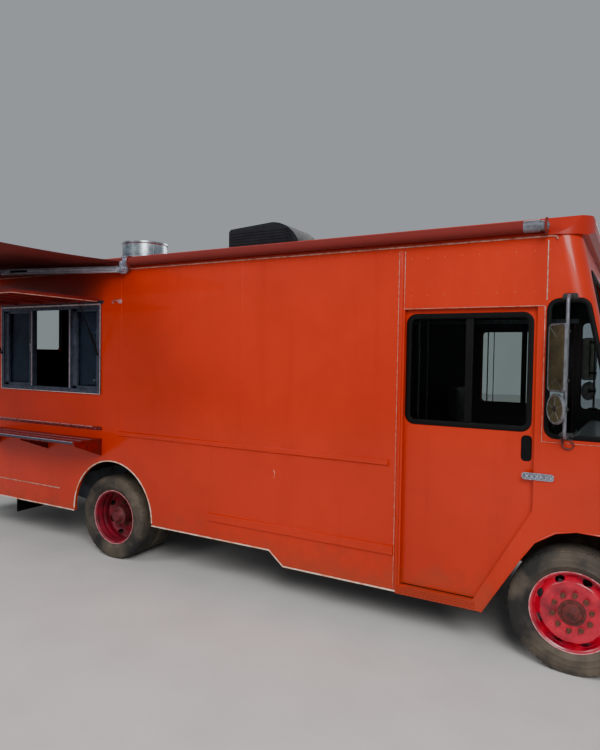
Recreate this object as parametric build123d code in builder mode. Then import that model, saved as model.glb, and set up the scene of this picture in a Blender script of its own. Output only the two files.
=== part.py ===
from build123d import *

import os
from math import atan2, cos, degrees, hypot, radians, sin

os.makedirs("parts", exist_ok=True)

# A step van turned into a food truck. X points forward from the front axle, Y to the
# vehicle's left, Z up from the ground, all in millimetres.
# side is -1 for the right-hand kerb side, which serves customers, and +1 for the left.

# Wheels and axles
wheelbase = 4125
tyre_radius = 403
tyre_width = 225
tyre_belly_radius = 325
tread_half = 96
bead_radius = 247
rim_flange_radius = 264
rim_width = 190
rim_wall = 9
dual_spacing = 258
kingpin_radius = 17
hub_radius = 88
spindle_radius = 32
running_fit = 0.05
steer_arm_back = 190

# Body shell
body_half = 1170
front_tyre_face = body_half - 29
rear_tyre_face = body_half - 61
kingpin_half = front_tyre_face - 279
wall = 32
rear_x = -6700
post_x = -1176
drip_z = 2807
belt_z = 1490
floor_z = 790
floor_thick = 30
skirt_z = 425
low_skirt_z = 315
skirt_step_rear_x = -2265
skirt_step_front_x = -2129
windscreen_foot_x = 270
windscreen_top_x = -8
nose_x = 700
nose_corner = 120
nose_top_z = 1215
hood_front_x = 630
hood_front_z = 1310
nose_bottom_z = 660
fender_bottom_z = 430
sill_z = 299
sill_top_z = 366

# Doors
door_rear_x = -1143
door_front_x = -250
door_top_z = 2358
door_bend_z = 1036
door_low_front_x = -620
door_lap = 17
door_gap = 6
door_thick = 30
door_travel = 850
# the cab's inner face steps in by this above the belt
ledge_step = 1
track_depth = 34
track_height = 42
slide_gap = 0.3

# Roof
roof_over = 18
roof_lip = 12
roof_shoulder_in = 60
roof_shoulder_z = 2925
roof_top_z = 2962
roof_thick = 28
roof_front_x = 60
brow_round = 75
brow_corner = 220

# Service window, hatch and counter
window_rear_x = -5751
window_front_x = -4219
window_low_z = 1609
window_top_z = 2492
frame_bar = 46
mullion_wide = 40
frame_proud = 12
mullions = (window_rear_x + 506, window_front_x - 435)
glass_thick = 6
hatch_thick = 30
hatch_reach = 905
hatch_axis_out = 60
hatch_axis_z = 2515
hinge_radius = 7
counter_rear_x = -5795
counter_front_x = -4205
counter_z = 1180
counter_depth = 330
counter_thick = 28

window_mid_x = (window_rear_x + window_front_x) / 2
window_mid_z = (window_low_z + window_top_z) / 2

# Ladder frame
rail_half = 430
rail_top_z = 770
rail_depth = 200
rail_flange = 72
rail_thick = 9
rail_front_x = 640
rail_rear_x = -6640
engine_half = 240


def wall_plane(side, out):
    """A plane that faces sideways at a distance out from the centre plane."""
    return Plane.XZ.offset(-side * out)


def save(block, label):
    block.part.label = label
    export_step(block.part, f"parts/{label}.step")


def side_name(side):
    return "right" if side < 0 else "left"


# Ladder frame: two channel rails with the engine's mounts, ties between them and outriggers
with BuildPart() as frame_rails:
    for side in (-1, 1):
        with BuildSketch(Plane.YZ.offset(rail_rear_x)):
            with Locations((side * (rail_half - rail_flange / 2), rail_top_z - rail_depth / 2)):
                Rectangle(rail_flange, rail_depth)
            with Locations((side * (rail_half - rail_flange / 2 - rail_thick), rail_top_z - rail_depth / 2)):
                Rectangle(rail_flange, rail_depth - 2 * rail_thick, mode=Mode.SUBTRACT)
        extrude(amount=rail_front_x - rail_rear_x)
        with BuildSketch(wall_plane(side, rail_half - rail_thick)):
            with Locations((-470, 630)):
                Rectangle(90, 60)
        extrude(amount=side * (rail_half - rail_thick - engine_half - slide_gap))
save(frame_rails, "frame_rails")

with BuildPart() as cross_members:
    # x, height of the tie's middle, depth
    for tie_x, tie_z, tie_depth in (
        (600, 660, 90),
        (240, 640, 90),
        (-1150, 660, 120),
        (-2200, 660, 120),
        (-3450, 660, 120),
        (-4800, 660, 120),
        (-5700, 660, 120),
        (-6560, 660, 120),
    ):
        with BuildSketch(Plane.XZ.offset(-rail_half + rail_thick)):
            with Locations((tie_x, tie_z)):
                Rectangle(60, tie_depth)
        extrude(amount=2 * (rail_half - rail_thick))
    for side in (-1, 1):
        for tie_x in (-2200, -3300, -4900, -6400):
            with BuildSketch(wall_plane(side, rail_half)):
                with Locations((tie_x, floor_z - 40)):
                    Rectangle(50, 80)
            extrude(amount=-side * (body_half - wall - rail_half - (52 if tie_x > -3000 else 0)))
save(cross_members, "cross_members")

# Flat floor, open over the rear wheels, the step wells and the engine
house_x = -wheelbase + 55
house_half = 560
house_inner = rear_tyre_face - 509
engine_hole_x = -660
well_inner = body_half - 340
well_front_x = -584
with BuildPart() as floor:
    with BuildSketch(Plane.XY.offset(floor_z)):
        with BuildLine():
            Polyline(
                (rear_x + wall, -body_half + wall),
                (post_x - door_travel - 60, -body_half + wall),
                (post_x - door_travel - 60, -body_half + 80),
                (door_rear_x, -body_half + 80),
                (door_rear_x, -well_inner),
                (-600, -well_inner),
                (-600, -600),
                (-420, -600),
                (-420, 600),
                (-600, 600),
                (-600, well_inner),
                (door_rear_x, well_inner),
                (door_rear_x, body_half - 80),
                (post_x - door_travel - 60, body_half - 80),
                (post_x - door_travel - 60, body_half - wall),
                (rear_x + wall, body_half - wall),
                close=True,
            )
        make_face()
        with Locations((engine_hole_x, 0)):
            Rectangle(480, 640, mode=Mode.SUBTRACT)
        for side in (-1, 1):
            with Locations((house_x, side * (house_inner + body_half) / 2)):
                Rectangle(2 * house_half, body_half - house_inner, mode=Mode.SUBTRACT)
    extrude(amount=floor_thick)
save(floor, "floor")

sheet = 8
riser = well_inner + slide_gap
house_top_z = floor_z + 200
# Step wells inside the doors, and the wheelhouses
with BuildPart() as wheelhouses:
    for side in (-1, 1):
        with BuildSketch(Plane.YZ.offset(door_rear_x)):
            with BuildLine():
                Polyline(
                    (side * (body_half - wall), sill_top_z - sheet),
                    (side * (body_half - wall), sill_top_z),
                    (side * (riser + sheet), sill_top_z),
                    (side * (riser + sheet), floor_z + floor_thick),
                    (side * riser, floor_z + floor_thick),
                    (side * riser, sill_top_z - sheet),
                    close=True,
                )
            make_face()
        extrude(amount=well_front_x - door_rear_x)

        # over the rear wheels: a box open below, let into the floor
        with BuildSketch(wall_plane(side, house_inner)):
            with Locations((house_x, (floor_z + house_top_z) / 2)):
                Rectangle(2 * house_half, house_top_z - floor_z)
        extrude(amount=-side * (body_half - wall - house_inner))
        with BuildSketch(wall_plane(side, house_inner + sheet)):
            with Locations((house_x, (floor_z + house_top_z) / 2 - sheet)):
                Rectangle(2 * (house_half - sheet), house_top_z - floor_z)
        extrude(amount=-side * (body_half - wall - house_inner), mode=Mode.SUBTRACT)
        # over the front wheels: a bent sheet from the sill up to the dash
        with BuildSketch(wall_plane(side, body_half - wall)):
            with BuildLine():
                Polyline(
                    (-576, sill_top_z),
                    (-309, 860),
                    (-205, 985),
                    (60, 1000),
                    (560, 1000),
                    (560, 1000 + sheet),
                    (60, 1000 + sheet),
                    (-208, 985 + sheet),
                    (-317, 862),
                    (-583, sill_top_z),
                    close=True,
                )
            make_face()
        extrude(amount=side * 540)
save(wheelhouses, "wheelhouses")


def side_outline():
    """The rear body's side in X and Z: skirt, step and round rear wheel arch."""
    arch_x = house_x
    arch_z = 450
    arch_radius = 522
    with BuildSketch() as outline:
        with BuildLine():
            Polyline(
                (post_x, low_skirt_z),
                (post_x, drip_z),
                (rear_x, drip_z),
                (rear_x, skirt_z),
                (skirt_step_rear_x, skirt_z),
                (skirt_step_front_x, low_skirt_z),
                close=True,
            )
        make_face()
        with Locations((arch_x, arch_z)):
            Circle(arch_radius, mode=Mode.SUBTRACT)
        with Locations((arch_x, arch_z - 50)):
            Rectangle(2 * arch_radius, 100, mode=Mode.SUBTRACT)
    return outline.sketch


# Rear body sides with their rub rails; the right one has the service window's opening
for side in (-1, 1):
    with BuildPart() as body_side:
        with BuildSketch(wall_plane(side, body_half)):
            add(side_outline())
            if side < 0:
                with Locations((window_mid_x, window_mid_z)):
                    Rectangle(window_front_x - window_rear_x, window_top_z - window_low_z, mode=Mode.SUBTRACT)
        extrude(amount=side * wall)
        # front end, rear end, height, width
        for rail_front, rail_rear, rail_z, rail_wide in (
            (-1240, -3980, 1249, 48),
            (-1190, -2900, 610, 76),
        ):
            with BuildSketch(wall_plane(side, body_half)):
                with Locations(((rail_front + rail_rear) / 2, rail_z)):
                    Rectangle(rail_front - rail_rear, rail_wide)
            extrude(amount=-side * 14, taper=25)
    save(body_side, f"body_side_{side_name(side)}")


def cab_form(inset):
    """The cab's outer form, or with an inset its inner one, open above, below and behind."""
    back = post_x - 4 * inset
    half = body_half - inset
    # above the belt the inner face stands a little further in, so the ledge there never thins out
    upper_half = half - ledge_step if inset else half
    round_off = nose_corner - inset
    run_up = 4 * inset
    lean = (windscreen_foot_x - windscreen_top_x) / (drip_z - belt_z)
    screen_low_x = windscreen_foot_x - inset + lean * 40
    screen_high_x = windscreen_foot_x - inset - lean * (drip_z + run_up - belt_z)
    with BuildPart() as form:
        with BuildSketch(Plane.XZ.offset(-upper_half)):
            with BuildLine():
                Polyline(
                    (back, belt_z - 40),
                    (screen_low_x, belt_z - 40),
                    (screen_high_x, drip_z + run_up),
                    (back, drip_z + run_up),
                    close=True,
                )
            make_face()
        extrude(amount=2 * upper_half)
        fillet(form.faces().sort_by(Axis.X)[-1].edges().filter_by(Axis.Y, reverse=True), round_off)
    with BuildPart() as low_form:
        with BuildSketch(Plane.XY.offset(sill_z - run_up)) as plan:
            with BuildLine():
                Polyline((back, -half), (nose_x - inset, -half), (nose_x - inset, half), (back, half), close=True)
            make_face()
            fillet(plan.vertices().group_by(Axis.X)[-1], round_off)
        extrude(amount=belt_z - sill_z + run_up)
        with BuildSketch(Plane.XZ.offset(-body_half)):
            with BuildLine():
                Polyline(
                    (back, sill_z - run_up),
                    (back, belt_z - inset),
                    (windscreen_foot_x + 10 - inset, belt_z - inset),
                    (hood_front_x - inset, hood_front_z - inset),
                    (nose_x - inset, nose_top_z - inset),
                    (nose_x - inset, sill_z - run_up),
                    close=True,
                )
            make_face()
        extrude(amount=2 * body_half, mode=Mode.INTERSECT)
    return form.part + low_form.part


lean_x = windscreen_foot_x - windscreen_top_x
lean_z = drip_z - belt_z
lean_length = hypot(lean_x, lean_z)
screen_plane = Plane(
    origin=(windscreen_foot_x, 0, belt_z),
    x_dir=(0, 1, 0),
    z_dir=(lean_z, 0, lean_x),
)
# the hood's hinge axis, along the slope from its top edge and up off the skin
hood_hinge_on = 16
hood_hinge_up = hinge_radius + 2
hood_drop = hood_front_z - belt_z
hood_run = hood_front_x - windscreen_foot_x - 10
hood_length = hypot(hood_drop, hood_run)
hood_axis_x = windscreen_foot_x + 10 + (hood_hinge_on * hood_run - hood_hinge_up * hood_drop) / hood_length
hood_axis_z = belt_z + (hood_hinge_on * hood_drop + hood_hinge_up * hood_run) / hood_length
hood_plane = Plane(
    origin=(windscreen_foot_x + 10, 0, belt_z),
    x_dir=(0, 1, 0),
    z_dir=(-hood_drop, 0, hood_run),
)
hood_half = body_half - 610
pane_inner = 70
pane_outer = body_half - 200
pane_mid = (pane_inner + pane_outer) / 2
pane_low = 105
pane_high = lean_length - 225
pane_corner = 70
lamp_half = body_half - 490
lamp_z = 930
lamp_radius = 98
grille_half = body_half - 720
grille_z = 900
grille_height = 360


def door_outline(lap):
    """The doorway in X and Z, or with a lap the door that covers it from inside."""
    bend_run = door_front_x - door_low_front_x
    with BuildSketch() as outline:
        with BuildLine():
            Polyline(
                (door_rear_x - lap, sill_top_z + (8 if lap else 3)),
                (door_rear_x - lap, door_top_z + lap),
                (door_front_x + lap, door_top_z + lap),
                (door_front_x + lap, door_bend_z - lap / 2),
                (door_front_x - bend_run + lap, sill_top_z + (8 if lap else 3)),
                close=True,
            )
        make_face()
    return outline.sketch


def quarter_outline(inset):
    """The quarter window beside the windscreen, with its sloping front edge."""
    with BuildSketch() as outline:
        with BuildLine():
            Polyline(
                (-183 + inset, 1527 + inset),
                (-183 + inset, 2394 - inset),
                (41 - inset, 2394 - inset),
                (228 - inset, 1527 + inset),
                close=True,
            )
        make_face()
        fillet(outline.vertices(), 60 - inset / 2)
    return outline.sketch


with BuildPart() as cab_skin:
    add(cab_form(0))
    add(cab_form(wall), mode=Mode.SUBTRACT)
    # doorways, quarter windows and front wheel arches, cut through both sides
    for side in (-1, 1):
        with BuildSketch(wall_plane(side, body_half + 10)):
            add(door_outline(0))
            add(quarter_outline(0))
            with BuildLine():
                Polyline(
                    (-560, sill_z - 1),
                    (-540, 334),
                    (-315, 710),
                    (-231, 832),
                    (-107, 912),
                    (14, 940),
                    (147, 935),
                    (290, 890),
                    (410, 790),
                    (480, 640),
                    (500, 480),
                    (500, sill_z - 1),
                    close=True,
                )
            make_face()
        extrude(amount=side * 100, mode=Mode.SUBTRACT)
        with BuildSketch(wall_plane(side, body_half + 10)):
            with Locations((600, (sill_z + fender_bottom_z) / 2 - 1)):
                Rectangle(400, fender_bottom_z - sill_z + 2)
        extrude(amount=side * (body_half + 10), mode=Mode.SUBTRACT)
    # windscreen halves
    with BuildSketch(screen_plane):
        for side in (-1, 1):
            with Locations((side * pane_mid, (pane_low + pane_high) / 2)):
                RectangleRounded(pane_outer - pane_inner, pane_high - pane_low, pane_corner)
    extrude(amount=60, both=True, mode=Mode.SUBTRACT)
    # hood, grille and headlamp openings
    with BuildSketch(hood_plane):
        with Locations((0, -hood_length / 2)):
            Rectangle(2 * hood_half, hood_length - 36)
    extrude(amount=60, both=True, mode=Mode.SUBTRACT)
    with BuildSketch(Plane.YZ.offset(nose_x - 60)):
        with Locations((0, grille_z)):
            RectangleRounded(2 * grille_half, grille_height, 20)
        for side in (-1, 1):
            with Locations((side * lamp_half, lamp_z)):
                Circle(lamp_radius)
        with Locations((0, (sill_z + nose_bottom_z) / 2 - 1)):
            Rectangle(2 * body_half - 640, nose_bottom_z - sill_z + 2)
    extrude(amount=120, mode=Mode.SUBTRACT)

seam_half = body_half - nose_corner - 20
for side in (-1, 1):
    with BuildPart() as cab_side:
        add(cab_skin.part)
        with BuildSketch(Plane.XY.offset(sill_z - 10)):
            with Locations((0, side * (seam_half + body_half) / 2 + side * 20)):
                Rectangle(3000, body_half - seam_half + 40)
        extrude(amount=3000, mode=Mode.INTERSECT)
    save(cab_side, f"cab_side_{side_name(side)}")



def hood_hinges(way):
    """Both hinges' knuckles and leaves: way -1 is the body's half of each, 1 the hood's."""
    # how far down the slope each leaf starts and ends
    leaf_start, leaf_end = (hood_hinge_on + 3, 60) if way > 0 else (1, hood_hinge_on)
    with BuildPart() as hinges:
        for hinge_y in (-hood_half + 180, hood_half - 180):
            start = hinge_y + (slide_gap if way > 0 else -30)
            with BuildSketch(Plane.XZ.offset(-start)):
                with Locations((hood_axis_x, hood_axis_z)):
                    Circle(hinge_radius)
            extrude(amount=-(30 - slide_gap))
            with BuildSketch(hood_plane.offset(-3)):
                with Locations((start + 15, -(leaf_start + leaf_end) / 2)):
                    Rectangle(30 - slide_gap, leaf_end - leaf_start)
            extrude(amount=8)
    return hinges.part


# label, lowest and highest level
for label, low, high in (("nose", sill_z - 10, belt_z), ("windscreen_frame", belt_z, drip_z + 10)):
    with BuildPart() as front_panel:
        add(cab_skin.part)
        with BuildSketch(Plane.XY.offset(low)):
            Rectangle(3000, 2 * seam_half)
        extrude(amount=high - low, mode=Mode.INTERSECT)
        if label == "nose":
            # the ledge that the hood rests on
            with BuildSketch(hood_plane.offset(-wall + 4 - slide_gap)):
                with Locations((0, -hood_length / 2)):
                    Rectangle(2 * hood_half + 2, hood_length - 34)
                    Rectangle(2 * hood_half - 50, hood_length - 90, mode=Mode.SUBTRACT)
            extrude(amount=-6)
            add(hood_hinges(-1))
    save(front_panel, label)

with BuildPart() as fixed_glass:
    with BuildSketch(screen_plane.offset(-wall / 2)):
        for side in (-1, 1):
            with Locations((side * pane_mid, (pane_low + pane_high) / 2)):
                RectangleRounded(pane_outer - pane_inner, pane_high - pane_low, pane_corner)
    extrude(amount=glass_thick)
    for side in (-1, 1):
        with BuildSketch(wall_plane(side, body_half - wall / 2)):
            add(quarter_outline(0))
        extrude(amount=side * glass_thick)
    # service window's fixed panes
    with BuildSketch(wall_plane(-1, body_half - wall / 2)):
        for low_x, high_x in (
            (window_rear_x + frame_bar, mullions[0] - mullion_wide / 2),
            (mullions[1] + mullion_wide / 2, window_front_x - frame_bar),
        ):
            with Locations(((low_x + high_x) / 2, window_mid_z)):
                Rectangle(high_x - low_x, window_top_z - window_low_z - 2 * frame_bar)
    extrude(amount=-glass_thick)
save(fixed_glass, "fixed_glass")

with BuildPart() as hood:
    with BuildSketch(hood_plane.offset(-wall + 4)):
        with Locations((0, -hood_length / 2)):
            Rectangle(2 * hood_half - 12, hood_length - 48)
    extrude(amount=wall - 6)
    add(hood_hinges(1))
save(hood, "hood")

# Sliding doors run back inside the body sides, hung in a track over the doorway
door_out = body_half - wall - door_gap
for side in (-1, 1):
    with BuildPart() as door:
        with BuildSketch(wall_plane(side, door_out)):
            add(door_outline(door_lap))
            with Locations(((door_rear_x + door_front_x) / 2 - 5, 1934)):
                RectangleRounded(830, 750, 50, mode=Mode.SUBTRACT)
        extrude(amount=side * door_thick)
    save(door, f"door_{side_name(side)}")
    with BuildPart() as door_glass:
        with BuildSketch(wall_plane(side, door_out - door_thick / 2)):
            with Locations(((door_rear_x + door_front_x) / 2 - 5, 1934)):
                RectangleRounded(830, 750, 50)
        extrude(amount=side * glass_thick)
    save(door_glass, f"door_glass_{side_name(side)}")

track_low = door_top_z + door_lap + slide_gap
with BuildPart() as door_tracks:
    for side in (-1, 1):
        with BuildSketch(wall_plane(side, body_half - wall - ledge_step)):
            track_rear = door_rear_x - door_travel - 60
            with Locations(((track_rear - 200) / 2, track_low + track_height / 2)):
                Rectangle(-200 - track_rear, track_height)
        extrude(amount=side * (track_depth + 8 - ledge_step))
save(door_tracks, "door_tracks")


def roof_section(inset):
    """The roof's section in Y and Z: drip lip, round shoulder and low crown."""
    edge = body_half + roof_over - inset
    base = drip_z if inset == 0 else drip_z - 1
    top = roof_top_z - inset
    shoulder = roof_shoulder_z - inset
    with BuildSketch() as section:
        with BuildLine():
            Line((-edge, base), (edge, base))
            Line((edge, base), (edge, drip_z + roof_lip))
            Line((edge, drip_z + roof_lip), (edge - roof_shoulder_in, shoulder))
            ThreePointArc((edge - roof_shoulder_in, shoulder), (0, top), (-edge + roof_shoulder_in, shoulder))
            Line((-edge + roof_shoulder_in, shoulder), (-edge, drip_z + roof_lip))
            Line((-edge, drip_z + roof_lip), (-edge, base))
        make_face()
    return section.sketch


with BuildPart() as roof:
    with BuildSketch(Plane.YZ.offset(rear_x)):
        add(roof_section(0))
    extrude(amount=roof_front_x - rear_x)
    # the brow over the windscreen is rounded in side view and in plan
    with BuildSketch(Plane.XZ.offset(-body_half - 2 * roof_over)):
        with BuildLine():
            Polyline(
                (roof_front_x - brow_round, roof_top_z + 1),
                (rear_x - 1, roof_top_z + 1),
                (rear_x - 1, drip_z - 1),
                (roof_front_x - brow_round / 2, drip_z - 1),
                (roof_front_x, drip_z + brow_round / 3),
                (roof_front_x, roof_top_z - brow_round),
            )
            RadiusArc(
                (roof_front_x, roof_top_z - brow_round), (roof_front_x - brow_round, roof_top_z + 1), -brow_round
            )
        make_face()
    extrude(amount=2 * body_half + 4 * roof_over, mode=Mode.INTERSECT)
    with BuildSketch(Plane.XY.offset(drip_z - 2)) as plan:
        with Locations(((rear_x + roof_front_x) / 2, 0)):
            Rectangle(roof_front_x - rear_x, 2 * (body_half + roof_over))
        fillet(plan.vertices().group_by(Axis.X)[-1], brow_corner)
    extrude(amount=roof_top_z - drip_z + 4, mode=Mode.INTERSECT)
    with BuildSketch(Plane.YZ.offset(rear_x + roof_thick)):
        add(roof_section(roof_thick + roof_over))
    extrude(amount=roof_front_x - rear_x - roof_thick - 2 * brow_round, mode=Mode.SUBTRACT)
save(roof, "roof")

rear_wall_low_z = 570
rear_hinge = (rear_x - 18, 445)
rear_hinge_zs = (960, 1700, 2500)
rear_door_half = 440
rear_door_low_z = 830
rear_door_top_z = 2720
with BuildPart() as rear_wall:
    with BuildSketch(Plane.YZ.offset(rear_x)):
        with Locations((0, (rear_wall_low_z + drip_z) / 2)):
            Rectangle(2 * (body_half - wall), drip_z - rear_wall_low_z)
        with Locations((0, (rear_door_low_z + rear_door_top_z) / 2)):
            Rectangle(
                2 * rear_door_half + 10, rear_door_top_z - rear_door_low_z + 10, mode=Mode.SUBTRACT
            )
    extrude(amount=wall)
    for hinge_z in rear_hinge_zs:
        with BuildSketch(Plane.XY.offset(hinge_z)):
            with Locations(rear_hinge):
                Circle(hinge_radius)
            with Locations((rear_x - 10, rear_hinge[1] + 3)):
                Rectangle(20, 5)
            with Locations((rear_x - 2, rear_hinge[1] + 24)):
                Rectangle(4, 46)
        extrude(amount=60)
save(rear_wall, "rear_wall")

with BuildPart() as rear_door:
    with BuildSketch(Plane.YZ.offset(rear_x - 4)):
        with Locations((0, (rear_door_low_z + rear_door_top_z) / 2)):
            Rectangle(2 * rear_door_half, rear_door_top_z - rear_door_low_z)
        with Locations((0, 2340)):
            RectangleRounded(680, 620, 50, mode=Mode.SUBTRACT)
    extrude(amount=wall)
    for hinge_z in rear_hinge_zs:
        with BuildSketch(Plane.XY.offset(hinge_z + 60 + slide_gap)):
            with Locations(rear_hinge):
                Circle(hinge_radius)
            with Locations((rear_x - 10, rear_hinge[1] - 3)):
                Rectangle(16, 5)
            with Locations((rear_x - 6, rear_hinge[1] - 24)):
                Rectangle(4, 46)
        extrude(amount=60)
save(rear_door, "rear_door")
with BuildPart() as rear_door_glass:
    with BuildSketch(Plane.YZ.offset(rear_x + wall / 2 - 4)):
        with Locations((0, 2340)):
            RectangleRounded(680, 620, 50)
    extrude(amount=glass_thick)
save(rear_door_glass, "rear_door_glass")

# Gas struts' pins, measured in Y and Z
hatch_axis_y = -body_half - hatch_axis_out
strut_foot = (-body_half - frame_proud - 16, 2000)
strut_head = (hatch_axis_y - 190, hatch_axis_z - hatch_thick / 2 - 16)
strut_xs = (window_rear_x + 22, window_front_x - 22)
strut_run = strut_head[0] - strut_foot[0]
strut_rise = strut_head[1] - strut_foot[1]
strut_length = hypot(strut_run, strut_rise)
closed_head = (hatch_axis_y + hatch_axis_z - strut_head[1], hatch_axis_z + strut_head[0] - hatch_axis_y)
strut_closed = hypot(closed_head[0] - strut_foot[0], closed_head[1] - strut_foot[1])
strut_tube = 262
rod_start = 36 + strut_length - strut_closed
eye_wide = 12
plate_thick = 4

# Service window: aluminium frame with a fixed pane each side of the open middle
frame_depth = wall + frame_proud + 8
with BuildPart() as window_frame:
    with BuildSketch(wall_plane(-1, body_half + frame_proud)):
        with Locations((window_mid_x, window_mid_z)):
            Rectangle(window_front_x - window_rear_x, window_top_z - window_low_z)
            Rectangle(
                window_front_x - window_rear_x - 2 * frame_bar,
                window_top_z - window_low_z - 2 * frame_bar,
                mode=Mode.SUBTRACT,
            )
        for mullion_x in mullions:
            with Locations((mullion_x, window_mid_z)):
                Rectangle(mullion_wide, window_top_z - window_low_z - frame_bar)
    extrude(amount=-frame_depth)
    # the hatch's hinge: a barrel over the frame's whole length, on a leaf from the top bar
    with BuildSketch(Plane.YZ.offset(window_rear_x - 30)):
        with Locations((hatch_axis_y, hatch_axis_z)):
            Circle(hinge_radius)
        with Locations(((hatch_axis_y - body_half) / 2, hatch_axis_z)):
            Rectangle(hatch_axis_out, 4)
        with Locations((-body_half - 2, (hatch_axis_z + 2 + window_top_z) / 2)):
            Rectangle(4, hatch_axis_z + 2 - window_top_z)
    extrude(amount=window_front_x - window_rear_x + 60)
    # plates and pins for the gas struts' feet
    for strut_x in strut_xs:
        with BuildSketch(Plane.YZ.offset(strut_x - eye_wide / 2 - plate_thick - slide_gap)):
            with Locations(((strut_foot[0] - 9 - body_half) / 2, strut_foot[1])):
                Rectangle(-strut_foot[0] + 9 - body_half, 24)
        extrude(amount=plate_thick)
        with BuildSketch(Plane.YZ.offset(strut_x - eye_wide / 2 - plate_thick)):
            with Locations(strut_foot):
                Circle(4)
        extrude(amount=eye_wide + plate_thick)
save(window_frame, "window_frame")

# Hatch: hinged over the window, standing straight out on two gas struts
hatch_length = window_front_x - window_rear_x + 60
hatch_skin = 4
hatch_edge = 24
with BuildPart() as hatch:
    with BuildSketch(Plane.XY.offset(hatch_axis_z - hatch_thick / 2)):
        with Locations((window_mid_x, hatch_axis_y - hinge_radius - 1 - hatch_reach / 2)):
            Rectangle(hatch_length, hatch_reach)
    extrude(amount=hatch_thick)
    # hollow underneath, with three stiffeners left across
    with BuildSketch(Plane.XY.offset(hatch_axis_z - hatch_thick / 2)):
        with Locations((window_mid_x, hatch_axis_y - hinge_radius - 1 - hatch_reach / 2)):
            with GridLocations((hatch_length - hatch_edge) / 4, 0, 4, 1):
                Rectangle((hatch_length - hatch_edge) / 4 - hatch_edge, hatch_reach - 2 * hatch_edge)
    extrude(amount=hatch_thick - hatch_skin, mode=Mode.SUBTRACT)
    for strut_x in strut_xs:
        with BuildSketch(Plane.YZ.offset(strut_x + eye_wide / 2 + slide_gap)):
            with Locations((strut_head[0], (strut_head[1] - 10 + hatch_axis_z + 13) / 2)):
                Rectangle(20, hatch_axis_z + 13 - strut_head[1] + 10)
        extrude(amount=plate_thick)
save(hatch, "hatch")

with BuildPart() as strut_tubes:
    for strut_x in strut_xs:
        base = Plane(
            origin=(strut_x, strut_foot[0], strut_foot[1]), x_dir=(1, 0, 0), z_dir=(0, strut_run, strut_rise)
        )
        with BuildSketch(base):
            Circle(5.5)
        extrude(amount=40)
        with BuildSketch(base.offset(28)):
            Circle(10)
        extrude(amount=strut_tube - 28)
        with BuildSketch(base.offset(32)):
            Circle(4 + running_fit)
        extrude(amount=strut_tube, mode=Mode.SUBTRACT)
        with BuildSketch(Plane.YZ.offset(strut_x - eye_wide / 2)):
            with Locations(strut_foot):
                Circle(10)
        extrude(amount=eye_wide)
        with BuildSketch(Plane.YZ.offset(strut_x - eye_wide)):
            with Locations(strut_foot):
                Circle(4 + running_fit)
        extrude(amount=2 * eye_wide, mode=Mode.SUBTRACT)
save(strut_tubes, "strut_tubes")
with BuildPart() as strut_rods:
    for strut_x in strut_xs:
        base = Plane(
            origin=(strut_x, strut_foot[0], strut_foot[1]), x_dir=(1, 0, 0), z_dir=(0, strut_run, strut_rise)
        )
        with BuildSketch(base.offset(rod_start)):
            Circle(4)
        extrude(amount=strut_length - rod_start)
        with BuildSketch(Plane.YZ.offset(strut_x - eye_wide / 2)):
            with Locations(strut_head):
                Circle(8)
        extrude(amount=eye_wide)
save(strut_rods, "strut_rods")

# Counter shelf on folded end brackets, with grey metal along its front edge
counter_mid_x = (counter_rear_x + counter_front_x) / 2
counter_length = counter_front_x - counter_rear_x
with BuildPart() as counter:
    with BuildSketch(Plane.XY.offset(counter_z - counter_thick)):
        with Locations((counter_mid_x, -body_half - counter_depth / 2)):
            Rectangle(counter_length, counter_depth)
    extrude(amount=counter_thick)
    for bracket_x in (counter_rear_x, counter_mid_x, counter_front_x - 5):
        with BuildSketch(Plane.YZ.offset(bracket_x)):
            with BuildLine():
                Polyline(
                    (-body_half, counter_z - counter_thick + 1),
                    (-body_half, 1011),
                    (-body_half - counter_depth + 10, counter_z - counter_thick - 14),
                    (-body_half - counter_depth + 10, counter_z - counter_thick + 1),
                    close=True,
                )
            make_face()
        extrude(amount=5)
save(counter, "counter")

# Awnings: one open over the counter on folding arms, one rolled up towards the front
awning_root_z = 2860
awning_front_x = -3842
awning_rear_x = -6660
awning_reach = 1450
awning_drop = 26
awning_roll = 38
with BuildPart() as awning_cases:
    with BuildSketch(Plane.YZ.offset(awning_rear_x)):
        with Locations((-body_half - roof_over - awning_roll - 0.5, awning_root_z)):
            Circle(awning_roll)
    extrude(amount=awning_front_x - awning_rear_x)
    for bracket_x in (awning_rear_x, awning_front_x - 8):
        with BuildSketch(Plane.YZ.offset(bracket_x)):
            with Locations((-body_half - roof_over - awning_roll - 6, awning_root_z - 25)):
                Rectangle(2 * awning_roll + 12, 130)
        extrude(amount=8)
    # the other awning, rolled up towards the front
    with BuildSketch(Plane.YZ.offset(-3780)):
        with Locations((-body_half - roof_over - awning_roll - 0.5, awning_root_z)):
            Circle(awning_roll)
    extrude(amount=3780 - 240)
    for bracket_x in (-3780, -210):
        with BuildSketch(Plane.YZ.offset(bracket_x)):
            with Locations((-body_half - roof_over - awning_roll, awning_root_z - 5)):
                RectangleRounded(2 * awning_roll + 10, 110, 40)
        extrude(amount=-8 if bracket_x < -1000 else 12)
    with BuildSketch(Plane.YZ.offset(-240)):
        with Locations((-body_half - roof_over - awning_roll - 0.5, awning_root_z)):
            Circle(awning_roll - 6)
    extrude(amount=30)
save(awning_cases, "awning_cases")

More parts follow.
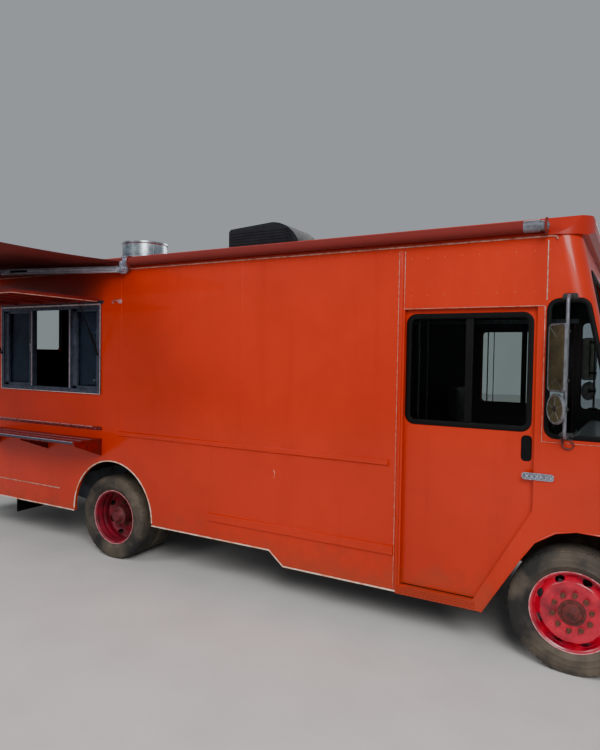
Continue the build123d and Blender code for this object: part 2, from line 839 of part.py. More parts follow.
with BuildPart() as awning_arms:
    shoulder_y = -body_half - 48
    elbow_y = -body_half - 358
    for shoulder_x, elbow_x in (
        (awning_front_x - 40, awning_front_x - 1350),
        (awning_rear_x + 40, awning_rear_x + 1150),
    ):
        for start, end in (
            ((shoulder_x, shoulder_y), (elbow_x, elbow_y)),
            ((elbow_x, elbow_y), (elbow_x, -body_half - awning_reach)),
        ):
            run = hypot(end[0] - start[0], end[1] - start[1])
            angle = degrees(atan2(end[1] - start[1], end[0] - start[0]))
            with BuildSketch(Plane.XY.offset(2782)):
                with Locations(Location(((start[0] + end[0]) / 2, (start[1] + end[1]) / 2), angle)):
                    SlotCenterToCenter(run, 44)
            extrude(amount=32)
    with BuildSketch(Plane.YZ.offset(awning_rear_x)):
        with Locations((-body_half - awning_reach - 30, awning_root_z - awning_drop - 22)):
            RectangleRounded(50, 110, 12)
    extrude(amount=awning_front_x - awning_rear_x)
save(awning_arms, "awning_arms")

with BuildPart() as awning_fabric:
    with BuildSketch(Plane.YZ.offset(awning_rear_x + 12)):
        with BuildLine():
            Polyline(
                (-body_half - roof_over - 2 * awning_roll - 0.8, awning_root_z - 4),
                (-body_half - roof_over - 2 * awning_roll - 0.8, awning_root_z + 2),
                (-body_half - awning_reach - 4.7, awning_root_z - awning_drop + 2),
                (-body_half - awning_reach - 4.7, awning_root_z - awning_drop - 4),
                close=True,
            )
        make_face()
    extrude(amount=awning_front_x - awning_rear_x - 24)
save(awning_fabric, "awning_fabric")

# On the roof: the galley's exhaust fan and an air conditioner
fan_x = -4790
fan_radius = 258
with BuildPart() as roof_fan:
    # each drum's foot above the roof, height and radius
    for foot, height, radius in ((slide_gap, 90, fan_radius - 20), (60, 262, fan_radius), (322, 14, fan_radius + 8)):
        with BuildSketch(Plane((fan_x, 0, roof_top_z + foot))):
            Circle(radius)
        extrude(amount=height)
save(roof_fan, "roof_fan")


cooler_rear_x = -3290
cooler_length = 810
cooler_height = 340
with BuildPart() as air_conditioner:
    with BuildSketch(Plane.XZ.offset(380)):
        with BuildLine():
            Polyline(
                (cooler_rear_x + cooler_length * 0.6, roof_top_z + cooler_height),
                (cooler_rear_x, roof_top_z + cooler_height - 30),
                (cooler_rear_x, roof_top_z + slide_gap),
                (cooler_rear_x + cooler_length, roof_top_z + slide_gap),
                (cooler_rear_x + cooler_length, roof_top_z + 50),
            )
            RadiusArc(
                (cooler_rear_x + cooler_length, roof_top_z + 50),
                (cooler_rear_x + cooler_length * 0.6, roof_top_z + cooler_height),
                -cooler_length * 0.42,
            )
        make_face()
    extrude(amount=-520)
    chamfer(air_conditioner.faces().sort_by(Axis.Y)[0].edges().group_by(Axis.Z)[-1], 30)
    chamfer(air_conditioner.faces().sort_by(Axis.Y)[-1].edges().group_by(Axis.Z)[-1], 30)
save(air_conditioner, "air_conditioner")

# Mirrors on tall looped tubes
mirror_out = 130
mirror_tube = 11
mirror_bend = 35
mirror_x = -60
mirror_high_z = 2412
mirror_low_z = 1535
mirror_turn = 37
with BuildPart() as mirrors:
    for side in (-1, 1):
        tube_y = side * (body_half + mirror_out)
        with BuildLine() as loop:
            Polyline(
                (mirror_x, side * body_half, mirror_high_z),
                (mirror_x, tube_y - side * mirror_bend, mirror_high_z),
                (mirror_x, tube_y, mirror_high_z - mirror_bend),
                (mirror_x, tube_y, mirror_low_z + mirror_bend),
                (mirror_x, tube_y - side * mirror_bend, mirror_low_z),
                (mirror_x, side * body_half, mirror_low_z),
            )
        with BuildSketch(Plane(origin=loop.line @ 0, z_dir=loop.line % 0)):
            Circle(mirror_tube)
        sweep(path=loop.line, transition=Transition.RIGHT)
        # the heads stand behind the tube, turned towards the driver
        turn = radians(mirror_turn)
        head = Plane(
            origin=(mirror_x - 40, tube_y, 0),
            x_dir=(-side * sin(turn), -cos(turn), 0),
            z_dir=(-cos(turn), side * sin(turn), 0),
        )
        with BuildSketch(head):
            with Locations((0, 2030)):
                RectangleRounded(190, 420, 30)
            with Locations((0, 1715)):
                Circle(95)
        extrude(amount=24)
        # clamps, on a stalk from the tube
        for clamp_z in (1703, 1880, 2180):
            with BuildSketch(Plane.XY.offset(clamp_z)):
                with Locations((mirror_x - 25, tube_y)):
                    Rectangle(50, 2 * mirror_tube + 8)
            extrude(amount=24)
save(mirrors, "mirrors")

# Front end
with BuildPart() as grille:
    for bar in range(7):
        with BuildSketch(Plane.YZ.offset(nose_x - wall)):
            with Locations((0, 760 + bar * 46)):
                Rectangle(2 * grille_half, 20)
        extrude(amount=wall - 4)
    with BuildSketch(Plane.YZ.offset(nose_x - wall)):
        for bar_y in (-grille_half * 2 / 3, 0, grille_half * 2 / 3):
            with Locations((bar_y, grille_z)):
                Rectangle(14, grille_height)
    extrude(amount=wall - 10)
save(grille, "grille")

with BuildPart() as lamps:
    for side in (-1, 1):
        with BuildSketch(Plane.YZ.offset(nose_x - 50)):
            with Locations((side * lamp_half, lamp_z)):
                Circle(lamp_radius - slide_gap)
        extrude(amount=62)
        for tail_z in (700, 860):
            with BuildSketch(Plane.YZ.offset(rear_x - 22)):
                with Locations((side * (body_half - 190), tail_z)):
                    Circle(55)
            extrude(amount=22)
save(lamps, "lamps")

step_depth = 220
bumper_half = body_half - 170
with BuildPart() as bumpers:
    with BuildSketch(Plane.YZ.offset(nose_x + 60)):
        with Locations((0, 520)):
            Rectangle(2 * body_half - 100, 200)
    extrude(amount=40)
    for side in (-1, 1):
        with BuildSketch(Plane.YZ.offset(rail_front_x)):
            with Locations((side * (rail_half - 50), 600)):
                Rectangle(60, 100)
        extrude(amount=nose_x + 60 - rail_front_x)
    # the rear one is a step, with a hole for a hitch pin
    with BuildSketch(Plane.XY.offset(440)):
        with Locations((rear_x - step_depth / 2 - 5, 0)):
            Rectangle(step_depth, 2 * bumper_half)
        with Locations((rear_x - step_depth + 40, 0)):
            Circle(13, mode=Mode.SUBTRACT)
    extrude(amount=16)
    with BuildSketch(Plane.YZ.offset(rear_x - step_depth - 5)):
        with Locations((0, 520)):
            Rectangle(2 * bumper_half, 60)
            Rectangle(300, 70, mode=Mode.SUBTRACT)
        with Locations((0, 448)):
            Rectangle(2 * bumper_half, 160)
    extrude(amount=12)
    for side in (-1, 1):
        with BuildSketch(Plane.XZ.offset(side * 380 - 10)):
            with Locations(((rear_x - 5 + rail_rear_x + 80) / 2, (456 + rail_top_z - rail_depth) / 2)):
                Rectangle(rail_rear_x - rear_x + 85, rail_top_z - rail_depth - 456)
        extrude(amount=20)
save(bumpers, "bumpers")

# Axles
pin_z = tyre_radius
with BuildPart() as front_axle:
    with BuildSketch(Plane.YZ.offset(-38)):
        with BuildLine():
            Polyline(
                (-kingpin_half, pin_z + 42),
                (-kingpin_half, pin_z - 42),
                (-kingpin_half + 60, pin_z - 42),
                (-520, pin_z - 125),
                (520, pin_z - 125),
                (kingpin_half - 60, pin_z - 42),
                (kingpin_half, pin_z - 42),
                (kingpin_half, pin_z + 42),
                (kingpin_half - 60, pin_z + 42),
                (520, pin_z - 45),
                (-520, pin_z - 45),
                (-kingpin_half + 60, pin_z + 42),
                close=True,
            )
        make_face()
    extrude(amount=76)
    for side in (-1, 1):
        with BuildSketch(Plane.XY.offset(pin_z - 42)):
            with Locations((0, side * kingpin_half)):
                Circle(38)
        extrude(amount=84)
        with BuildSketch(Plane.XY.offset(pin_z - 60)):
            with Locations((0, side * kingpin_half)):
                Circle(kingpin_radius + running_fit)
        extrude(amount=120, mode=Mode.SUBTRACT)
save(front_axle, "front_axle")

front_tyre_mid = front_tyre_face - tyre_width / 2
for side in (-1, 1):
    with BuildPart() as knuckle:
        # kingpin, with a lug above and below the beam's eye
        with BuildSketch(Plane.XY.offset(pin_z - 80)):
            with Locations((0, side * kingpin_half)):
                Circle(kingpin_radius)
        extrude(amount=160)
        for lug_z in (pin_z - 80, pin_z + 44):
            with BuildSketch(Plane.XY.offset(lug_z)):
                with Locations((0, side * kingpin_half)):
                    Circle(34)
                with Locations((0, side * (kingpin_half + 40))):
                    Rectangle(68, 80)
            extrude(amount=36)
        with BuildSketch(wall_plane(side, kingpin_half + 46)):
            with Locations((0, pin_z)):
                Rectangle(90, 160)
        extrude(amount=-side * 26)
        with BuildSketch(wall_plane(side, kingpin_half + 60)):
            with Locations((0, pin_z)):
                Circle(spindle_radius)
        extrude(amount=-side * (front_tyre_face - kingpin_half - 60 - 30))
        # steering arm, pointing back
        with BuildSketch(Plane.XY.offset(pin_z - 80)):
            with BuildLine():
                Polyline(
                    (-20, side * (kingpin_half + 24)),
                    (-20, side * (kingpin_half - 24)),
                    (-steer_arm_back, side * (kingpin_half - 16)),
                    (-steer_arm_back, side * (kingpin_half + 16)),
                    close=True,
                )
            make_face()
            with Locations((-steer_arm_back, side * (kingpin_half))):
                Circle(20)
                Circle(8 + running_fit, mode=Mode.SUBTRACT)
        extrude(amount=24)
    save(knuckle, f"knuckle_{side_name(side)}")

with BuildPart() as tie_rod:
    with BuildSketch(wall_plane(-1, kingpin_half)):
        with Locations((-steer_arm_back, pin_z - 104)):
            Circle(15)
    extrude(amount=-2 * kingpin_half)
    for side in (-1, 1):
        with BuildSketch(Plane.XY.offset(pin_z - 122)):
            with Locations((-steer_arm_back, side * kingpin_half)):
                Circle(19)
        extrude(amount=36)
        with BuildSketch(Plane.XY.offset(pin_z - 100)):
            with Locations((-steer_arm_back, side * kingpin_half)):
                Circle(8)
        extrude(amount=44)
save(tie_rod, "tie_rod")

with BuildPart() as rear_axle:
    with BuildSketch(wall_plane(-1, 600)):
        with Locations((-wheelbase, tyre_radius)):
            Circle(62)
    extrude(amount=-1200)
    with BuildSketch(wall_plane(-1, rear_tyre_face - 60)):
        with Locations((-wheelbase, tyre_radius)):
            Circle(spindle_radius + 13)
    extrude(amount=-2 * (rear_tyre_face - 60))
    # the differential's banjo housing: ring, bulged cover behind and pinion nose in front
    for end, length, radius in ((-70, 140, 185), (-125, 60, 140), (60, 110, 80)):
        with BuildSketch(Plane.YZ.offset(end - wheelbase)):
            with Locations((0, tyre_radius)):
                Circle(radius)
        extrude(amount=length)
save(rear_axle, "rear_axle")

with BuildPart() as propeller_shaft:
    # propeller shaft, from behind the gearbox to the differential
    shaft_start = Vector(-852.7, 0, 560)
    shaft_end = Vector(-wheelbase + 172.6, 0, tyre_radius)
    with BuildSketch(Plane(origin=shaft_start, z_dir=shaft_end - shaft_start)):
        Circle(45)
    extrude(amount=(shaft_end - shaft_start).length)
save(propeller_shaft, "propeller_shaft")


rim_sides = 30
tyre_sides = 48
hand_holes = 8
hand_hole_ring = 210
hand_hole_radius = 21
disc_flat_radius = 186
disc_rise = 40
disc_thick = 12
rear_outer_mid = rear_tyre_face - tyre_width / 2
rear_inner_mid = rear_outer_mid - dual_spacing
shoulder_wide = tyre_width / 2 - tread_half
dish_deep = tyre_width / 2 - rim_width / 2 + rim_wall + 11
belly_flat = 2
# label, x of the axle, and for each rim its middle, the way its disc faces and the disc's place
wheel_sets = (
    ("front", 0, ((front_tyre_mid, 1, front_tyre_mid + 92),)),
    (
        "rear",
        -wheelbase,
        ((rear_outer_mid, -1, rear_outer_mid - 118), (rear_inner_mid, 1, rear_inner_mid + 128)),
    ),
)


def wheel_plane(axle_x, out, way):
    """A plane across an axle at a signed distance out from the vehicle's middle, facing way in Y."""
    return Plane(origin=(axle_x, out, tyre_radius), x_dir=(0, 0, 1), z_dir=(0, way, 0))


def disc_form(place):
    """A rim's disc filled out behind: flat in the middle, with a slope down to the barrel."""
    with BuildPart() as form:
        with BuildSketch(place):
            RegularPolygon(bead_radius - rim_wall, rim_sides)
        extrude(amount=disc_rise + disc_thick)
        front = form.faces().sort_by(Axis((0, 0, 0), place.z_dir))[-1]
        chamfer(front.edges(), bead_radius - rim_wall - disc_flat_radius, disc_rise, reference=front)
    return form.part


for side in (-1, 1):
    for label, axle_x, rims in wheel_sets:
        hub_start = kingpin_half + 80 if label == "front" else 620
        hub_end = front_tyre_face - 4 if label == "front" else rear_tyre_face - 30
        bore = (spindle_radius if label == "front" else spindle_radius + 13) + running_fit
        with BuildPart() as rim:
            for mid, out, disc in rims:
                # the disc, with a ring of hand holes in its slope
                behind = disc - out * (disc_rise + disc_thick)
                add(disc_form(wheel_plane(axle_x, side * behind, side * out)))
                behind = behind - out * disc_thick
                add(disc_form(wheel_plane(axle_x, side * behind, side * out)), mode=Mode.SUBTRACT)
                with BuildSketch(wheel_plane(axle_x, side * (disc - out * 90), side * out)):
                    with PolarLocations(hand_hole_ring, hand_holes):
                        RegularPolygon(hand_hole_radius, 8)
                extrude(amount=100, mode=Mode.SUBTRACT)
                # barrel, its corners just inside the tyre's seat, and flanges
                low = mid - rim_width / 2
                for start, wide, radius in (
                    (low, rim_width, bead_radius),
                    (low, rim_wall, rim_flange_radius),
                    (low + rim_width - rim_wall, rim_wall, rim_flange_radius),
                ):
                    with BuildSketch(wheel_plane(axle_x, side * start, side)):
                        RegularPolygon(radius, rim_sides)
                        RegularPolygon(bead_radius - 2 * rim_wall, rim_sides, mode=Mode.SUBTRACT)
                    extrude(amount=wide)
            with BuildSketch(wheel_plane(axle_x, side * hub_start, side)):
                RegularPolygon(hub_radius, rim_sides)
            extrude(amount=hub_end - hub_start)
            with BuildSketch(wheel_plane(axle_x, side * (hub_start - 5), side)):
                Circle(bore)
            extrude(amount=hub_end - hub_start - 10, mode=Mode.SUBTRACT)
        save(rim, f"{label}_rim_{side_name(side)}")
        with BuildPart() as tyre:
            for mid, out, disc in rims:
                with BuildSketch(wheel_plane(axle_x, side * (mid - tyre_width / 2), side)):
                    RegularPolygon(tyre_radius, tyre_sides)
                    RegularPolygon(bead_radius + slide_gap, tyre_sides, major_radius=False, mode=Mode.SUBTRACT)
                extrude(amount=tyre_width)
                # shoulders and dished sidewalls
                near, far = sorted((side * (mid - tyre_width / 2 - 1), side * (mid + tyre_width / 2 + 1)))
                for end in tyre.faces().filter_by(Axis.Y).filter_by_position(Axis.Y, near, far):
                    chamfer(
                        end.outer_wire().edges(),
                        tyre_radius - tyre_belly_radius - belly_flat,
                        shoulder_wide,
                        reference=end,
                    )
                for end in tyre.faces().filter_by(Axis.Y).filter_by_position(Axis.Y, near, far):
                    chamfer(
                        end.inner_wires()[0].edges(),
                        tyre_belly_radius - bead_radius - belly_flat,
                        dish_deep,
                        reference=end,
                    )
        save(tyre, f"{label}_tyre_{side_name(side)}")

# Leaf springs, on the axles and hung from the rails
with BuildPart() as springs:
    for side in (-1, 1):
        # axle x, height of the axle's seat, half length, spring's middle across
        for seat_x, seat_z, half_length, seat_y in (
            (0, pin_z - 45 + 0.3, 620, rail_half - 40),
            (-wheelbase, tyre_radius + 62.3, 700, rail_half + 62),
        ):
            leaf_top = rail_top_z - rail_depth - 60
            with BuildSketch(wall_plane(side, seat_y - 32)):
                with BuildLine():
                    Polyline(
                        (seat_x - half_length, leaf_top),
                        (seat_x - 90, seat_z),
                        (seat_x + 90, seat_z),
                        (seat_x + half_length, leaf_top),
                        (seat_x + half_length, leaf_top + 14),
                        (seat_x + 90, seat_z + 46),
                        (seat_x - 90, seat_z + 46),
                        (seat_x - half_length, leaf_top + 14),
                        close=True,
                    )
                make_face()
                for hanger_x in (seat_x - half_length + 20, seat_x + half_length - 20):
                    with Locations((hanger_x, leaf_top + 36)):
                        Rectangle(40, 48)
            extrude(amount=-side * 64)
            if seat_y > rail_half:
                for hanger_x in (seat_x - half_length + 20, seat_x + half_length - 20):
                    with BuildSketch(wall_plane(side, rail_half)):
                        with Locations((hanger_x, leaf_top + 100)):
                            Rectangle(40, 90)
                    extrude(amount=-side * (seat_y + 32 - rail_half))
save(springs, "springs")

with BuildPart() as engine:
    with BuildSketch(Plane.XY.offset(430)):
        with Locations((-470, 0)):
            Rectangle(760, 480)
    extrude(amount=600)
save(engine, "engine")

with BuildPart() as engine_cover:
    with BuildSketch(Plane.XY.offset(floor_z + floor_thick)):
        with Locations((-480, 0)):
            Rectangle(860, 680)
    extrude(amount=340)
    fillet(engine_cover.edges().filter_by(Axis.X).group_by(Axis.Z)[-1], 60)
    with BuildSketch(Plane.XY.offset(floor_z + floor_thick - 1)):
        with Locations((-480, 0)):
            Rectangle(840, 660)
    extrude(amount=331, mode=Mode.SUBTRACT)
save(engine_cover, "engine_cover")

seat_y = 620
with BuildPart() as seat:
    with BuildSketch(Plane.XY.offset(floor_z + floor_thick)):
        with Locations((-1000, seat_y)):
            Rectangle(300, 300)
    extrude(amount=260)
    with BuildSketch(Plane.XY.offset(floor_z + floor_thick + 260)):
        with Locations((-980, seat_y)):
            RectangleRounded(500, 480, 60)
    extrude(amount=110)
    with BuildSketch(Plane.XY.offset(floor_z + floor_thick + 300)):
        with Locations((-1210, seat_y)):
            RectangleRounded(110, 460, 40)
    extrude(amount=640)
save(seat, "driver_seat")

wheel_centre = Vector(-400, seat_y, 1330)
column_foot = Vector(-140, seat_y, 1140)
column_axis = (wheel_centre - column_foot).normalized()
column_plane = Plane(origin=wheel_centre, x_dir=(0, 1, 0), z_dir=column_axis)
with BuildPart() as steering_wheel:
    with BuildSketch(column_plane.offset(-13)):
        RegularPolygon(238, 24)
        RegularPolygon(214, 24, mode=Mode.SUBTRACT)
    extrude(amount=26)
    with BuildSketch(column_plane.offset(-8)):
        Circle(45)
        Rectangle(440, 26)
        Rectangle(26, 440)
    extrude(amount=14)
save(steering_wheel, "steering_wheel")
with BuildPart() as dashboard:
    with BuildSketch(Plane.XZ.offset(-body_half + wall)):
        with BuildLine():
            Polyline((-150, 1180), (-150, 1360), (-70, 1440), (200, 1440), (200, 1180), close=True)
        make_face()
    extrude(amount=2 * (body_half - wall))
    with BuildSketch(column_plane.offset(-8.3)):
        Circle(30)
    extrude(amount=-(column_foot - wheel_centre).length)
save(dashboard, "dashboard")

with BuildPart() as fuel_tank:
    with BuildSketch(wall_plane(1, rail_half + slide_gap)):
        with Locations((-wheelbase + 1225, 562)):
            RectangleRounded(900, 270, 60)
    extrude(amount=-420)
save(fuel_tank, "fuel_tank")

flap_inner = 620
flap_low_z = 250
flap_behind = 1475
with BuildPart() as mud_flaps:
    for side in (-1, 1):
        with BuildSketch(Plane.YZ.offset(-wheelbase - flap_behind)):
            with Locations((side * (body_half - 70 + flap_inner) / 2, (flap_low_z + floor_z) / 2)):
                Rectangle(body_half - 70 - flap_inner, floor_z - flap_low_z)
        extrude(amount=8)
save(mud_flaps, "mud_flaps")
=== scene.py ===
from math import atan2, cos, exp, hypot, pi, radians, sin, sqrt, tan, tau

import bmesh
import bpy
from mathutils import Matrix, Vector
from mathutils.bvhtree import BVHTree


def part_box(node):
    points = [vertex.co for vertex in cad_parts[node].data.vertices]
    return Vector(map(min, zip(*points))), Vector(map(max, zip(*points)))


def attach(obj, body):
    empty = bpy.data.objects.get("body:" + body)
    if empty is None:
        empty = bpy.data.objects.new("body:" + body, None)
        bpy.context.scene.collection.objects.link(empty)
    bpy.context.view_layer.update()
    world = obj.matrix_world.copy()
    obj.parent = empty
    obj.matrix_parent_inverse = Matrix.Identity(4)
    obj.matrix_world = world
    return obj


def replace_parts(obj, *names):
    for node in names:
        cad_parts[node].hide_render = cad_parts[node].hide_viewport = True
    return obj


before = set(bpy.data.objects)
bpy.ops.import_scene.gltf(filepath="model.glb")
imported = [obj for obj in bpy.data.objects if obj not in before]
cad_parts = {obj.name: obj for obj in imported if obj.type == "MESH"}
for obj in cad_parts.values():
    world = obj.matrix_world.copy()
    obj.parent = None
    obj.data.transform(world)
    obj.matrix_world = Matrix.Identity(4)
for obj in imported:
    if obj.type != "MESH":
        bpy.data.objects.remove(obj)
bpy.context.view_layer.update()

# Camera at the photograph's place: metres, degrees, and the photograph's own pixels
CAMERA_AT = (0.334, -5.281, 2.018)
CAMERA_YAW = -29.57
CAMERA_PITCH = -1.85
CAMERA_ROLL = 0.92
FOCAL_PIXELS = 600
FRAME_HEIGHT = 750
SENSOR = 36.0

# Main sizes that the looks share with the construction, in metres; X is forward, Y left, Z up
BODY_HALF = 1.17
POST_X = -1.176
REAR_X = -6.7
DRIP_Z = 2.807
BELT_Z = 1.49
WHEELBASE = 4.125
TYRE_RADIUS = 0.403
SIDES = (("right", -1), ("left", 1))
SKIRT_Z = 0.425
LOW_SKIRT_Z = 0.315
ARCH_X = -4.07
ARCH_Z = 0.45
ARCH_RADIUS = 0.522
DOOR_OUT = -0.038
HATCH_AXIS_Z = 2.515
COUNTER_Z = 1.18
FAN_X = -4.79
SEAT_Y = 0.62
# a point of the windscreen's lower edge, the way up its slope, and the way out of it
SCREEN_FOOT = Vector((0.27, 0, BELT_Z))
SCREEN_UP = Vector((-0.2065, 0, 0.9785))
SCREEN_OUT = Vector((0.9785, 0, 0.2065))

AHEAD, BACK, LEFT, RIGHT, UP = (1, 0, 0), (-1, 0, 0), (0, 1, 0), (0, -1, 0), (0, 0, 1)


def aim_camera():
    """Puts the scene's camera where the photograph was taken."""
    yaw, pitch, roll = (radians(a) for a in (CAMERA_YAW, CAMERA_PITCH, CAMERA_ROLL))
    ahead = Vector((sin(yaw) * cos(pitch), cos(yaw) * cos(pitch), sin(pitch)))
    level_right = Vector((cos(yaw), -sin(yaw), 0))
    level_up = level_right.cross(ahead)
    right = cos(roll) * level_right + sin(roll) * level_up
    up = -sin(roll) * level_right + cos(roll) * level_up
    camera = bpy.data.objects.new("camera", bpy.data.cameras.new("camera"))
    camera.data.sensor_width = SENSOR
    camera.data.lens = FOCAL_PIXELS / FRAME_HEIGHT * SENSOR
    camera.data.clip_end = 200
    camera.matrix_world = Matrix.Translation(CAMERA_AT) @ Matrix((right, up, -ahead)).transposed().to_4x4()
    bpy.context.scene.collection.objects.link(camera)
    bpy.context.scene.camera = camera


# Materials

# sockets of a colour Mix node, by their order
MIX_FACTOR, MIX_FIRST, MIX_SECOND, MIX_RESULT = 0, 6, 7, 2
# height where the road dust ends, in metres
DUST_TOP = 0.75


def linear(*screen):
    """A colour given as 0 to 255 on screen, as Blender's linear values."""
    shares = [value / 255 for value in screen]
    return (*(s / 12.92 if s <= 0.04045 else ((s + 0.055) / 1.055) ** 2.4 for s in shares), 1.0)


def darker(colour, share):
    """A linear colour at a share of its brightness."""
    return tuple(share * part for part in colour[:3]) + (1,)


class Nodes:
    """A material under construction: its shader, and short ways to add nodes that feed it."""

    def __init__(self, name, **sockets):
        self.material = bpy.data.materials.new(name)
        self.material.use_nodes = True
        self.tree = self.material.node_tree
        self.shader = self.tree.nodes["Principled BSDF"]
        for socket, value in sockets.items():
            self.shader.inputs[socket.replace("_", " ")].default_value = value
        self.place = self.add("TexCoord").outputs["Object"]

    def put(self, value, socket):
        """Links an output to a socket, or sets the socket to a value."""
        if hasattr(value, "links"):
            self.tree.links.new(value, socket)
        else:
            socket.default_value = value

    def add(self, kind, **inputs):
        node = self.tree.nodes.new("ShaderNode" + kind)
        for socket, value in inputs.items():
            self.put(value, node.inputs[socket])
        return node

    def noise(self, scale, detail=4, rough=0.55, stretch=None):
        place = self.place
        if stretch:
            place = self.add("Mapping", Vector=place, Scale=stretch).outputs["Vector"]
        return self.add("TexNoise", Vector=place, Scale=scale, Detail=detail, Roughness=rough).outputs["Fac"]

    def ramp(self, value, *stops):
        """stops: two of (position, grey)."""
        node = self.add("ValToRGB", Fac=value)
        for element, (position, grey) in zip(node.color_ramp.elements, stops):
            element.position = position
            element.color = (grey, grey, grey, 1)
        return node.outputs["Color"]

    def mix(self, factor, first, second):
        node = self.add("Mix")
        node.data_type = "RGBA"
        for index, value in ((MIX_FACTOR, factor), (MIX_FIRST, first), (MIX_SECOND, second)):
            self.put(value, node.inputs[index])
        return node.outputs[MIX_RESULT]

    def maths(self, operation, *values):
        node = self.add("Math")
        node.operation = operation
        for socket, value in zip(node.inputs, values):
            self.put(value, socket)
        return node.outputs["Value"]

    def axes(self, vector):
        """Its X, Y and Z outputs."""
        node = self.add("SeparateXYZ", Vector=vector)
        return [node.outputs[axis] for axis in "XYZ"]

    def both(self, first, second):
        return self.maths("MULTIPLY", first, second)

    def sum(self, first, second):
        return self.maths("ADD", first, second)

    def lining_and_shade(self):
        """1 on the faces that look into the cab or galley, by their own normals, and 0 outside; paint gives them a
        near-black lining colour that is also painted shade of the unlit inside.
        """
        def under(value, limit):
            return self.maths("LESS_THAN", value, limit)

        def over(value, limit):
            return self.maths("GREATER_THAN", value, limit)

        x, y, z = self.axes(self.place)
        nx, ny, nz = self.axes(self.place.node.outputs["Normal"])
        sides = under(self.both(y, ny), -0.3)
        front = self.both(under(nx, -0.5), over(x, 0))
        back = self.both(over(nx, 0.5), under(x, REAR_X + 0.1))
        above = self.both(under(nz, -0.5), over(z, DRIP_Z - 0.02))
        above = self.both(above, under(self.maths("ABSOLUTE", y), BODY_HALF - 0.02))
        above = self.both(above, under(x, -0.03))
        return self.maths("MINIMUM", self.sum(self.sum(sides, front), self.sum(back, above)), 1)

    def finished(self, colour, rough, relief=None, strength=0.4, distance=0.0005):
        """The material, its shader fed with these outputs and its relief as a bump."""
        self.put(colour, self.shader.inputs["Base Color"])
        self.put(rough, self.shader.inputs["Roughness"])
        if relief:
            bump = self.add("Bump", Strength=strength, Distance=distance, Height=relief)
            self.put(bump.outputs["Normal"], self.shader.inputs["Normal"])
        return self.material


def paint(name, colour, faded, dent=0.004, inside=None):
    """Old enamel on sheet metal: patchy fading, orange peel, soft dents, and road dust low down."""
    m = Nodes(name, Specular_IOR_Level=0.3, Coat_Weight=0.25, Coat_Roughness=0.06)
    patches = m.ramp(m.noise(1.3, 5), (0.38, 0), (0.72, 1))
    base = m.mix(patches, linear(*colour), linear(*faded))
    streaks = m.ramp(m.noise(7, 5, stretch=(1, 1, 0.07)), (0.55, 0), (0.8, 0.25))
    base = m.mix(streaks, base, darker(linear(*faded), 0.55))
    low = m.sum(m.both(m.axes(m.place)[2], -1 / DUST_TOP), 1.1)
    grain = m.sum(low, m.both(m.noise(9, 6), 0.7))
    dusty = m.ramp(grain, (0.72, 0), (1, 0.4))
    base = m.mix(dusty, base, linear(112, 66, 40))
    chips = m.both(m.ramp(m.noise(46, 8, 0.7), (0.66, 0), (0.7, 0.7)), m.ramp(grain, (0.5, 0), (1, 1)))
    base = m.mix(chips, base, linear(84, 44, 30))
    if inside:
        # the inside faces take a near-black lining colour, painted shade of the unlit cab and galley
        base = m.mix(m.lining_and_shade(), base, linear(*inside))
    rough = m.sum(m.maths("MULTIPLY_ADD", m.noise(16), 0.16, 0.26), m.both(dusty, 0.5))
    waves = m.sum(m.noise(1.1, 2), m.both(m.noise(140, 2), 0.01))
    return m.finished(base, rough, waves, 0.5, dent)


def plain(name, colour, worn, scale=20, roughness=0.5, metallic=0, bump=0.0005, **sockets):
    """Any other hard surface: two tones mixed by noise, uneven roughness, a fine bump."""
    m = Nodes(name, Metallic=metallic, **sockets)
    shade = m.mix(m.ramp(m.noise(scale, 6), (0.4, 0), (0.7, 1)), linear(*colour), linear(*worn))
    rough = m.maths("MULTIPLY_ADD", m.noise(scale * 2.3, 5), 0.3, roughness - 0.15)
    return m.finished(shade, rough, m.noise(scale * 6, 5), distance=bump)


def glass(name, tint):
    """Clear glass with upright smears."""
    m = Nodes(name, Transmission_Weight=1, Roughness=0.02, IOR=1.12, Specular_IOR_Level=0.4)
    smears = m.ramp(m.noise(4, 6, stretch=(1, 1, 0.4)), (0.45, 0), (0.9, 0.35))
    return m.finished(m.mix(smears, linear(*tint), darker(linear(*tint), 0.8)), m.both(smears, 0.08))


# the third colour is a near-black lining, also painted shade of the unlit inside
ORANGE, ORANGE_FADED, LINING_SHADE = (196, 40, 0), (178, 36, 2), (34, 32, 31)
MATERIALS = {
    "body_paint": paint("body_paint", ORANGE, ORANGE_FADED, inside=LINING_SHADE),
    "trim_paint": paint("trim_paint", ORANGE, ORANGE_FADED),
    "roof_paint": paint("roof_paint", (172, 30, 4), (154, 32, 12), dent=0.006, inside=LINING_SHADE),
}
